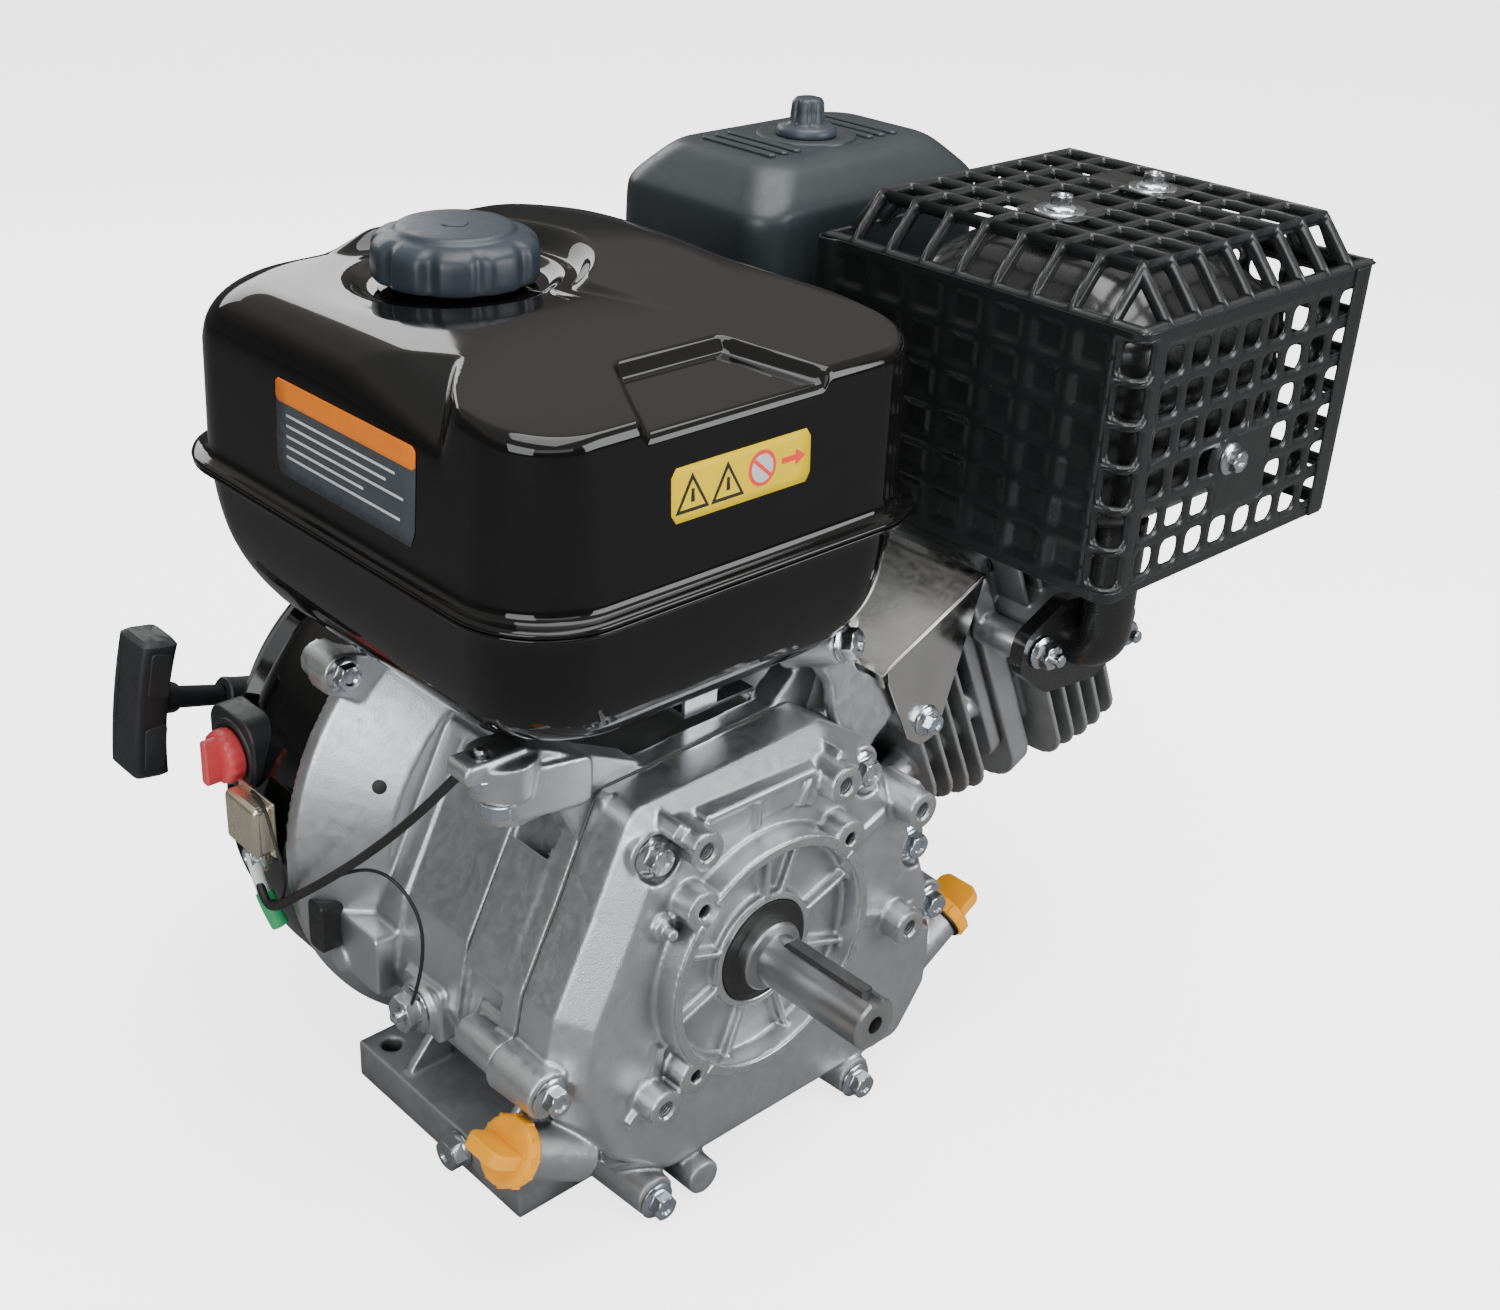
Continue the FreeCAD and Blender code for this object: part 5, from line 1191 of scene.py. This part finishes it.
# ---------------------------------------------------------------- screws, shield and seal
def case_fixings():
    case = dict(flats=12, head=6.2, flange=9.6, r=4)
    shapes = [screw((x, 20, z), -Y, shank=20, **case) for x, z in COVER_SCREWS]
    shapes += [screw((x, 10, -121), -Y, shank=10, **case) for x in FOOT_SCREWS_X]
    shapes += [screw((x, 59, 117.4), -Z, head=5.2, flange=8.4, shank=12) for x in (-122, 88)]
    add_mesh("case_screws", join(*shapes), ZINC, replaces="flange_bolts", angle=40)
    drain = dict(flats=15, head=7.5, flange=9.6)
    add_mesh("drain_screws", join(screw((-109.6, 98, -121), -X, **drain),
                                  screw((109.6, 74, -123), X, **drain)),
             ZINC, replaces="drain_plugs", angle=40)
    sensor = join(screw((-117.2, 122, -46), -X, flats=17, head=7.5, flange=12.0),
                  lathe([(0, 0), (0, 3.0), (5, 3.0), (6, 1.6), (6, 0)], (-124.6, 122, -46), -X,
                        20))
    add_mesh("level_sensor", sensor, ZINC, replaces="oil_level_switch", angle=40)


def exhaust_nuts():
    shapes = []
    for k in (-32, 32):
        centre = Vector((211.5, 3.6, 95.3)) + Vector((0.994, 0, -0.109)) * k
        shapes += [screw(centre, -Y, flats=12, head=6.5, flange=8.6, recess=False),
                   lathe([(0, 0), (0, 3.4), (12.4, 3.4), (13.2, 2.6), (13.2, 0)], centre, -Y,
                         20)]
    add_mesh("exhaust_flange_nuts", join(*shapes), ZINC, replaces="exhaust_nuts", angle=40)


def heat_shield():
    """Bent sheet on the cylinder: front tab, top and a turned-down lip."""
    def upright(s, q, y):
        return cyl(s, y, q)
    outline = [(133, -54.2), (205, -54.2), (203, -50), (154, 5), (147, 9.5), (138, 7),
               (131.5, -4), (130.5, -44)]           # s, q
    tab = prism(rounded(outline, [0.3, 0.3, 3, 5, 6, 6, 6, 3], 5), upright, 32.2, 31.0)
    top = prism(rect(128, 206, 30.2, 132), cyl, -54.0, -52.8)
    lip = prism(rect(128, 129.2, -53.4, -44), upright, 32, 131)
    bevel(add_mesh("heat_shield_sheet", join(tab, top, lip), STAINLESS,
                   replaces="heat_shield", angle=30), 0.4)
    add_mesh("heat_shield_screw", screw(cyl(146, 30.9, -4), -Y, shank=6), ZINC, angle=40)


def side_wall_hole_shade():
    """Painted shade: a dark disc on the left wall stands in for the shade inside a hole,
    seated where a ray from the left meets the casting.
    """
    hit, place, normal, _ = crankcase.ray_cast(Vector((-0.3, 0.168, 0.050)), Vector((1, 0, 0)))
    if hit:
        # painted shade: the dark rubber-finish disc is the shade of the hole
        add_mesh("side_wall_hole_shade", lathe([(-0.6, 0), (-0.6, 3.4), (0.10, 3.6), (0.25, 3.2),
                                          (0.25, 0)], Vector(place) / MM, normal, 28),
                 RUBBER, angle=40)


def seal_lip():
    profile = [(0.6, 25.9), (0.9, 25.2), (0.2, 23.5), (-1.2, 21.0), (0.6, 18.2), (0.8, 16.6),
               (-0.6, 16.2), (-3.0, 16.6), (-3.2, 25.9)]
    add_mesh("seal_lip", turned_ring(profile, (0, 7.2, 0), -Y, 72), RUBBER, angle=50)


def dipstick(node, body, base, axis):
    """Oil filler plug with a flat finger grip, seal ring and thread."""
    base, axis = Vector(base), Vector(axis).normalized()
    across = axis.cross(Y).normalized()
    cap = [(13.9, 0), (13.9, 15.2), (14.3, 15.9), (15.2, 16.2), (19.4, 16.2), (20.4, 15.9),
           (21.0, 15.2), (21.3, 13.5), (21.3, 0)]
    add_mesh(node + "_cap", lathe(cap, base, axis, 64), YELLOW, body=body, replaces=node,
             angle=35)
    grip = rounded([(-12, 20.8), (-12, 33), (-9, 37.3), (9, 37.3), (12, 33), (12, 20.8)],
                   [1, 5, 5, 5, 5, 1], 5)
    bevel(add_mesh(node + "_grip", prism(grip, frame_of(base, Y, axis), 3.6, -3.6), YELLOW,
                   body=body, angle=35), 1.3, segments=3)
    ticks = []                            # small ridges round the rim
    for i in range(12):
        a = radians(30 * i + 15)
        centre = base + Y * (16.2 * cos(a)) + across * (16.2 * sin(a))
        ticks.append(lathe([(15.2, 0), (15.2, 0.9), (19.6, 0.9), (19.6, 0)], centre, axis, 10))
    add_mesh(node + "_ticks", join(*ticks), YELLOW, body=body, angle=35)
    ring = [(13.55, 12.2), (13.55, 14.3), (12.9, 14.9), (13.9, 14.9), (14.0, 12.2)]
    add_mesh(node + "_ring", turned_ring(ring, base, axis), RUBBER, body=body, angle=50)
    thread = [(-19, 0), (-19, 3.0), (-16, 3.2), (-15.9, 9.6)]
    for i in range(9):
        thread += [(-14 + i * 3.0, 10.0), (-12.5 + i * 3.0, 8.9)]
    thread += [(13.6, 9.6), (13.8, 0)]
    add_mesh(node + "_thread", lathe(thread, base, axis, 40), YELLOW, body=body, angle=50)


machined_faces()
case_fixings()
exhaust_nuts()
heat_shield()
side_wall_hole_shade()
seal_lip()
dipstick("dipstick_left", "dipstick_l", (-118.1, 27, -68.3), (-0.857, 0, 0.515))
dipstick("dipstick_right", "dipstick_r", (140, 27, -67), (0.857, 0, 0.515))


# ---------------------------------------------------------------- air cleaner
def air_cleaner():
    centre_x, centre_y, top_z = 215, 221, 305.2

    def loop(inset, z, r):
        # upright walls below z 286, shoulders leaning in above
        k = np.clip((z - 286) / 19.0, 0, 1)
        return lift(round_rect(129.5 + 21 * k + inset, 301 - 19 * k - inset,
                               163 + 19 * k + inset, 280 - 15 * k - inset, r, 16, 8), z)
    stations = [                          # inset, z, corner radius
        (3.4, 190.4, 16), (0.6, 190.2, 19), (0, 191, 20), (0, 193, 20), (0.4, 196.5, 20),
        (1.6, 197.2, 19), (1.6, 199, 19), (0.8, 200, 20), (0.6, 230, 20), (0.6, 262, 20),
        (0.7, 276, 20), (1.0, 281, 20), (1.8, 285, 20), (1.6, 289, 20), (1.6, 294, 20),
        (1.6, 299, 20), (2.4, 302.4, 19), (5.0, 304.3, 17), (9, 305, 14), (20, 305.2, 8),
        (36, 305.2, 2)]
    o = add_mesh("air_cleaner_shell", skin([loop(*s) for s in stations]), CLEANER,
                 replaces="air_cleaner_cover")
    subdivide(o, name="s", render_levels=2)
    thicken(o, 2.2)
    # two groups of three moulded ribs on top
    ribs = [prism(rounded(rect(x - 2.6, x + 2.6, 196, 248), 2.4, 5), PLAN, 304.6, 306.6)
            for group_x in (176, 248) for x in (group_x - 9, group_x, group_x + 9)]
    bevel(add_mesh("air_cleaner_ribs", join(*ribs), CLEANER, angle=40), 0.8)
    pad = [(-1, 27), (0.8, 26.4), (1.4, 25.4), (1.5, 20), (0.4, 16), (0.4, 0)]
    add_mesh("air_cleaner_pad", lathe(pad, (centre_x, centre_y, top_z), Z, 64), CLEANER,
             angle=35)
    knob = [                              # radius, z, share of flute depth
        (12, 304.9, 0), (15.4, 305.6, 0), (16.0, 306.8, 0), (15.6, 309.6, 0), (13.6, 311.0, 0),
        (10.2, 311.6, 0.2), (9.2, 313.0, 0.8), (8.8, 319, 1), (8.4, 322.6, 0.9),
        (7.2, 324.4, 0.4), (5.2, 324.9, 0), (1.5, 324.9, 0)]
    loops = fluted(knob, (centre_x, centre_y, 0), n=144, flutes=6, depth=1.5,
                   start=0.45, end=0.95)
    body = "cleaner_knob" if "cleaner_knob" in frame["bodies"] else "housing"
    add_mesh("air_cleaner_knob_cap", skin(loops), BLUE_GREY, body=body,
             replaces="air_cleaner_knob")


# ---------------------------------------------------------------- fan cover, recoil starter
def fan_cover():
    """Round cover merged with the square duct that leads to the cylinder."""
    n = 240
    angles = full_turn(n)
    corners = [cyl(s, 0, q) for s, q in rect(60, 176, -62, 62)]
    duct = np.array([(c.x, c.z - FAN_Z) for c in corners])
    outline = np.full(n, FAN_R)           # the farther of circle and duct at each angle
    for i, angle in enumerate(angles):
        d = (cos(angle), sin(angle))
        for a, b in zip(duct, np.roll(duct, -1, axis=0)):
            e = b - a
            det = d[0] * e[1] - d[1] * e[0]
            if abs(det) < 1e-9:
                continue
            reach = (a[0] * e[1] - a[1] * e[0]) / det
            share = (a[0] * d[1] - a[1] * d[0]) / det
            if reach > 0 and 0 <= share <= 1:
                outline[i] = max(outline[i], reach)
    for _ in range(6):
        outline = 0.25 * np.roll(outline, 1) + 0.5 * outline + 0.25 * np.roll(outline, -1)
    outline = np.minimum(outline, 200)

    def ring(r, y):
        return np.column_stack([r * np.cos(angles), np.full(n, float(y)),
                                FAN_Z + r * np.sin(angles)])
    wall = [(0, 200.3), (0, 203), (0, 240), (0.6, 246), (2.2, 252), (5.5, 257.5), (10, 260.8)]
    face = [(4, 266), (8, 274), (14, 280.5), (20, 283.6), (26, 284.1), (32, 284.1)]  # inset, y
    loops = [ring(outline - inset, y) for inset, y in wall]
    for inset, y in face:
        r = FAN_R - inset
        loops.append(ring(np.minimum(np.where(outline > 136, outline - 10, r), r), y))
    o = add_mesh("fan_cover_shell", skin(loops, cap_end=False), GLOSS, replaces="fan_cover",
                 angle=50)
    fix_normals(o)
    thicken(o, 1.4)


def recoil_cover():
    base_y = 284.2
    profile = [(0.2, 103), (0.2, 110.0), (1.6, 110.6), (2.6, 110), (3.0, 106), (4.2, 102.0),
               (8, 99.4), (20, 97.5), (28, 95), (33, 90.5), (36, 84), (37.5, 78), (38.0, 71),
               (39.5, 69.0), (42.6, 67.2), (45.0, 62), (45.6, 52), (45.6, 28), (44.4, 25),
               (43.6, 22), (43.6, 0)]
    o = add_mesh("recoil_cover_shell", lathe(profile, (0, base_y, FAN_Z), Y, 144), GLOSS,
                 replaces="recoil_housing", angle=50)

    def is_slot(face):
        """Air slots round the side, left out near the rope, and across the rear face."""
        c = face.calc_center_median()
        r = hypot(c.x, c.z - 0.002) / MM
        angle = degrees(atan2(c.z - 0.002, c.x)) % 360
        y = c.y / MM - base_y
        side = 9 < y < 27 and (angle % 15) < 8.5 and not 130 < angle < 200
        return side or (y > 45 and 30 < r < 51 and (angle % 20) < 12)
    with editing(o.data) as bm:
        slots = [f for f in bm.faces if is_slot(f)]
        bmesh.ops.delete(bm, geom=slots, context="FACES")
    thicken(o, 1.3)
    screws = [screw((104.2 * cos(a), 287.4, 104.2 * sin(a) + FAN_Z), Y, shank=3)
              for a in (0.5, 2.07, 3.64, 5.21)]
    add_mesh("recoil_screws", join(*screws), ZINC, angle=40)


def pull_rope():
    start, length = 3.0, 24.0
    u = ROPE_DIR.orthogonal().normalized()
    w = ROPE_DIR.cross(u)
    loops = []
    for k in range(33):
        centre = ROPE_EXIT + ROPE_DIR * (start + length * k / 32)
        loops.append(np.array([centre + (u * cos(t) + w * sin(t)) * 2.1 for t in full_turn(14)]))
    o = add_mesh("pull_rope", skin(loops, cap_start=True), ROPE, body=None)
    fix_normals(o)
    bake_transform(o)


def rope_guide():
    collar = [(0, 9.4), (20, 9.0), (25.2, 9.4), (26.2, 8.6), (26.4, 5.0), (22, 3.4), (0, 3.4)]
    add_mesh("rope_guide_collar", turned_ring(collar, ROPE_EXIT, ROPE_DIR, 40), PLASTIC,
             angle=40)
    base = [(-6, 16), (-1, 15), (4, 11.5), (8, 9.6), (8, 0)]
    add_mesh("rope_guide_base", lathe(base, ROPE_EXIT, ROPE_DIR, 40), GLOSS, angle=50)


def starter_grip():
    foot = ROPE_EXIT + ROPE_DIR * 54.2
    along = Vector((0.17, 0, 0.985)).normalized()
    out = Vector((-0.985, 0, 0.17)).normalized()
    angles = full_turn(48)
    # squared-off section
    c = np.sign(np.cos(angles)) * np.abs(np.cos(angles)) ** 0.3
    s = np.sign(np.sin(angles)) * np.abs(np.sin(angles)) ** 0.3
    loops = []
    for t in np.linspace(-1, 1, 33):
        e = abs(t)
        end = sqrt(max(0.0, 1 - max(0, (e - 0.93) / 0.07) ** 2)) * 0.22 + 0.78
        width, height = 13.6 * end, (9.4 + 0.8 * e ** 2) * end
        offset = 19.0 - 2.6 * e ** 2
        dish = 1.0 - 0.16 * (1 - e ** 2) * (np.abs(s) < 0.75)
        loops.append(np.array([foot + out * (offset + height * a * d) + Y * (width * b)
                               + along * (37.5 * t) for a, b, d in zip(c, s, dish)]))
    fix_normals(add_mesh("starter_grip", skin(loops, cap_start=True), PLASTIC, body="handle",
                         replaces="starter_handle", angle=38))
    stem = [(-27.0, 0), (-27.0, 4.8), (-26, 5.4), (-2, 5.8), (0, 7.4), (1.5, 8.0), (5, 8.2),
            (9, 9.6), (15, 10.2), (17, 10.2), (17, 0)]
    add_mesh("starter_grip_stem", lathe(stem, foot, ROPE_DIR, 40), PLASTIC, body="handle",
             angle=50)
    outlines = [[(11, -7), (11, -31), (22, -32), (23, -9)], [(11, 7), (23, 9), (22, 32), (11, 31)]]
    panels = [prism(rounded(p, 2), frame_of(foot, out, along), -14.4, -13.0) for p in outlines]
    bevel(add_mesh("starter_grip_panels", join(*panels), PLASTIC, body="handle", angle=40), 0.4)


# ---------------------------------------------------------------- switch and oil alert unit
def engine_switch():
    centre = (250, 42, 0)                 # y, z
    base = prism(rounded(rect(230, 272, 26, 64), 12, 6), SIDE, -133, -118)
    o = add_mesh("switch_base", base, PLASTIC, replaces="switch_housing", angle=35)
    fix_normals(o)
    bevel(o, 1.2, segments=3)
    bezel = [(132.6, 15.2), (133.8, 15.8), (134.3, 17.0), (134.0, 18.4), (132.6, 19.0)]
    add_mesh("switch_bezel", turned_ring(bezel, (0, 250, 42), -X), PLASTIC, angle=40)
    dial = [                              # radius, distance left of x 0, share of flute depth
        (10, 133.2, 0), (13.6, 133.5, 0), (14.2, 135, 0.4), (14.0, 139.5, 1),
        (13.4, 141.6, 0.8), (12.0, 142.6, 0.3), (4, 142.9, 0)]
    loops = fluted(dial, centre, n=96, flutes=16, depth=0.45, start=0.3, end=0.9)
    loops = [loop[:, [2, 0, 1]] * (-1, 1, 1) for loop in loops]
    fix_normals(add_mesh("switch_dial", skin(loops), RED, body="switch",
                         replaces="switch_knob"))
    grip = rounded([(-3.4, -12.4), (3.4, -12.4), (2.6, 12.4), (-2.6, 12.4)], 2.2)
    o = add_mesh("switch_dial_grip", prism(grip, frame_of((0, 250, 42), Y, Z), -150, -142), RED,
                 body="switch", angle=35)
    fix_normals(o)
    bevel(o, 0.8)


def oil_alert():
    bevel(add_mesh("oil_alert_box", prism(rect(-149, -138, 206, 235), PLAN, 7, 35), GOLD,
                   replaces="oil_alert_unit", angle=30), 3.2, segments=4)
    bevel(add_mesh("oil_alert_rim", prism(rect(-139.6, -137.6, 204.5, 236.0), PLAN, 5.5, 36.5),
                   GOLD, angle=30), 0.8, segments=3)
    tab = rounded([(211, 6), (231, 6), (228, -8), (214, -8)], 3)
    add_mesh("oil_alert_tab", prism(tab, SIDE, -139.4, -137.4), GOLD, angle=40)
    add_mesh("oil_alert_screw", screw((-139.6, 221, 0), -X, head=4.8, shank=3), ZINC, angle=40)


# ---------------------------------------------------------------- wiring and tank screws
def left_wiring():
    tube("connector_clear", [(-143.4, 221, 3), (-144, 218, -5), (-143, 214, -14),
                             (-142.4, 212, -21)], 3.4, CLEAR)
    tube("connector_green", [(-142.6, 213, -17), (-142.2, 210, -23), (-141, 206, -29),
                             (-140, 204, -33)], 4.6, GREEN)
    tube("cable_main", [(-144, 214, -12), (-146, 207, -20), (-145.5, 197, -17), (-143, 186, -6),
                        (-139, 172, 6), (-134, 146, 30), (-127, 117, 60), (-120, 95, 87),
                        (-112, 82, 107), (-100, 74, 122)], 2.3, RUBBER, replaces="wiring")
    tube("wire_loop", [(-142, 216, -22), (-142, 203, -20), (-140, 186, -4), (-137, 168, 10),
                       (-131, 142, 31), (-126, 124, 34), (-121, 111, 20), (-120, 107, 2),
                       (-122, 110, -22), (-122, 119, -42)], 0.9, RUBBER)
    o = add_mesh("wire_grommet", prism(rounded(rect(177, 190, -40, -12), 3), SIDE, -132.5, -118),
                 RUBBER, angle=35)
    fix_normals(o)
    bevel(o, 1.4, segments=3)


def tank_screws():
    add_mesh("tank_ear_screw", screw(EAR, EAR_DIR, flats=13, head=6.5, flange=9.4, shank=8, r=4),
             ZINC, angle=40)
    add_mesh("tank_front_screw", screw((-116, 55, 105.2), -Z, flats=13, head=6.5, flange=9.0,
                                       shank=3, r=4), ZINC, angle=40)
    add_mesh("tank_rear_screw", screw((-110, 182, 108), -Y, flats=12, head=5.5, flange=8.8,
                                      shank=3, r=4), ZINC, angle=40)


def ignition_lead():
    tube("wire_short", [(-140, 222, 36), (-142, 208, 40), (-146, 194, 24), (-145, 184, 4),
                        (-143, 196, -14), (-142, 206, -24)], 0.9, RUBBER)
    tube("ignition_cable", [(30, 236, 122), (70, 226, 132), (120, 200, 110), (170, 140, 96),
                            (205, 86, 106), cyl(244, 40, -34)], 3.4, RUBBER)
    plug_dir = (Vector((COS_LEAN, 0, SIN_LEAN)) * 0.8 - Y * 0.6).normalized()
    boot = [(12, 5.8), (12, 8.2), (13, 9.2), (16, 9.6), (17, 11.2), (20.5, 11.2), (21.5, 9.4),
            (26, 9.2), (48, 8.6), (58, 8.0), (60, 6.2), (60, 5.0), (40, 5.8)]
    add_mesh("plug_boot", turned_ring(boot, cyl(207, 76, -18) + plug_dir * 2, plug_dir, 40),
             RUBBER, angle=50)


air_cleaner()
fan_cover()
recoil_cover()
pull_rope()
rope_guide()
starter_grip()
engine_switch()
oil_alert()
left_wiring()
tank_screws()
ignition_lead()


# ---------------------------------------------------------------- stage, light, camera
def floor():
    """White floor: glowing to the camera, dark in reflections, plain to all other rays."""
    bpy.ops.mesh.primitive_plane_add(size=14, location=(0, 0, -0.1332))
    o = bpy.context.object
    o.name = "floor"
    mat = bpy.data.materials.new("floor_mat")
    mat.use_nodes = True
    nodes, links = mat.node_tree.nodes, mat.node_tree.links
    plain = nodes["Principled BSDF"]
    plain.inputs["Base Color"].default_value = (0.93, 0.93, 0.93, 1)
    plain.inputs["Roughness"].default_value = 0.7
    plain.inputs["Specular IOR Level"].default_value = 0.1
    glow = nodes.new("ShaderNodeEmission")
    glow.inputs["Color"].default_value = (1, 1, 1, 1)
    glow.inputs["Strength"].default_value = 2.6
    dark = nodes.new("ShaderNodeBsdfDiffuse")
    dark.inputs["Color"].default_value = (0.16, 0.16, 0.16, 1)
    bright = nodes.new("ShaderNodeAddShader")
    path = nodes.new("ShaderNodeLightPath")
    by_camera = nodes.new("ShaderNodeMixShader")
    by_glossy = nodes.new("ShaderNodeMixShader")
    for source, target in (
            (plain.outputs[0], bright.inputs[0]), (glow.outputs[0], bright.inputs[1]),
            (path.outputs["Is Camera Ray"], by_camera.inputs[0]),
            (plain.outputs[0], by_camera.inputs[1]), (bright.outputs[0], by_camera.inputs[2]),
            (path.outputs["Is Glossy Ray"], by_glossy.inputs[0]),
            (by_camera.outputs[0], by_glossy.inputs[1]), (dark.outputs[0], by_glossy.inputs[2]),
            (by_glossy.outputs[0], nodes["Material Output"].inputs[0])):
        links.new(source, target)
    o.data.materials.append(mat)


def world():
    """Grey gradient by height for lighting, plain bright white to the camera."""
    scene = bpy.context.scene
    scene.world = scene.world or bpy.data.worlds.new("World")
    scene.world.use_nodes = True
    nodes, links = scene.world.node_tree.nodes, scene.world.node_tree.links
    nodes.clear()
    out = nodes.new("ShaderNodeOutputWorld")
    coords = nodes.new("ShaderNodeTexCoord")
    split = nodes.new("ShaderNodeSeparateXYZ")
    links.new(coords.outputs["Generated"], split.inputs[0])
    ramp = nodes.new("ShaderNodeValToRGB")
    links.new(split.outputs["Z"], ramp.inputs[0])
    stops = ramp.color_ramp.elements
    stops[0].position = 0.0
    stops[0].color = (0.10, 0.10, 0.10, 1)
    for position, colour in ((0.16, (0.09, 0.09, 0.09, 1)), (0.32, (0.22, 0.215, 0.205, 1)),
                             (0.50, (0.55, 0.54, 0.515, 1)), (0.72, (0.48, 0.48, 0.47, 1))):
        stops.new(position).color = colour
    stops[-1].position = 0.95
    stops[-1].color = (0.55, 0.55, 0.55, 1)
    gradient = nodes.new("ShaderNodeBackground")
    links.new(ramp.outputs[0], gradient.inputs["Color"])
    gradient.inputs["Strength"].default_value = 1.0
    white = nodes.new("ShaderNodeBackground")
    white.inputs["Color"].default_value = (1, 1, 1, 1)
    white.inputs["Strength"].default_value = 8.0
    path = nodes.new("ShaderNodeLightPath")
    mix = nodes.new("ShaderNodeMixShader")
    links.new(path.outputs["Is Camera Ray"], mix.inputs[0])
    links.new(gradient.outputs[0], mix.inputs[1])
    links.new(white.outputs[0], mix.inputs[2])
    links.new(mix.outputs[0], out.inputs[0])


def lights():
    white, cool = (1, 1, 1), (0.97, 0.985, 1.0)
    # name, place and target in metres, width, height, watts, colour
    for name, place, target, width, height, watts, colour in (
            ("key_top", (0.15, -0.1, 1.7), (0.03, 0.1, 0.1), 1.9, 1.3, 40, white),
            ("left_front", (-1.7, -0.75, 0.75), (0.0, 0.08, 0.05), 1.1, 1.1, 22, cool),
            ("right_front", (1.05, -1.6, 0.7), (0.05, 0.05, 0.05), 1.0, 1.1, 24, cool),
            ("front_strip", (-0.75, -1.75, 1.05), (0.0, 0.05, 0.1), 1.9, 0.5, 6,
             (0.93, 0.97, 1.0)),
            ("back_rim", (0.3, 1.9, 0.9), (0.0, 0.1, 0.15), 1.4, 0.6, 10, white)):
        light = bpy.data.lights.new(name, "AREA")
        light.shape = "RECTANGLE"
        light.size = width
        light.size_y = height
        light.energy = watts
        light.color = colour
        o = link(name, light)
        o.location = place
        o.rotation_mode = "QUATERNION"
        o.rotation_quaternion = (Vector(target) - Vector(place)).to_track_quat("-Z", "Y")


def camera():
    data = bpy.data.cameras.new("cam")
    o = link("cam", data)
    # world-to-view rotation as axis times angle, in a view with y down and z forward
    turn = Vector((1.97074222, -0.72012339, 0.46660269))
    view = Matrix.Rotation(turn.length, 3, turn.normalized())
    pose = Matrix((view[0], -view[1], -view[2])).transposed().to_4x4()
    pose.translation = Vector((-0.52668, -0.49270, 0.53606))
    o.matrix_world = pose
    data.sensor_width = 36
    data.lens = 46.147
    data.shift_x = 0.06845
    data.shift_y = 0.00867
    data.clip_start = 0.01
    data.clip_end = 50
    bpy.context.scene.camera = o


floor()
world()
lights()
camera()
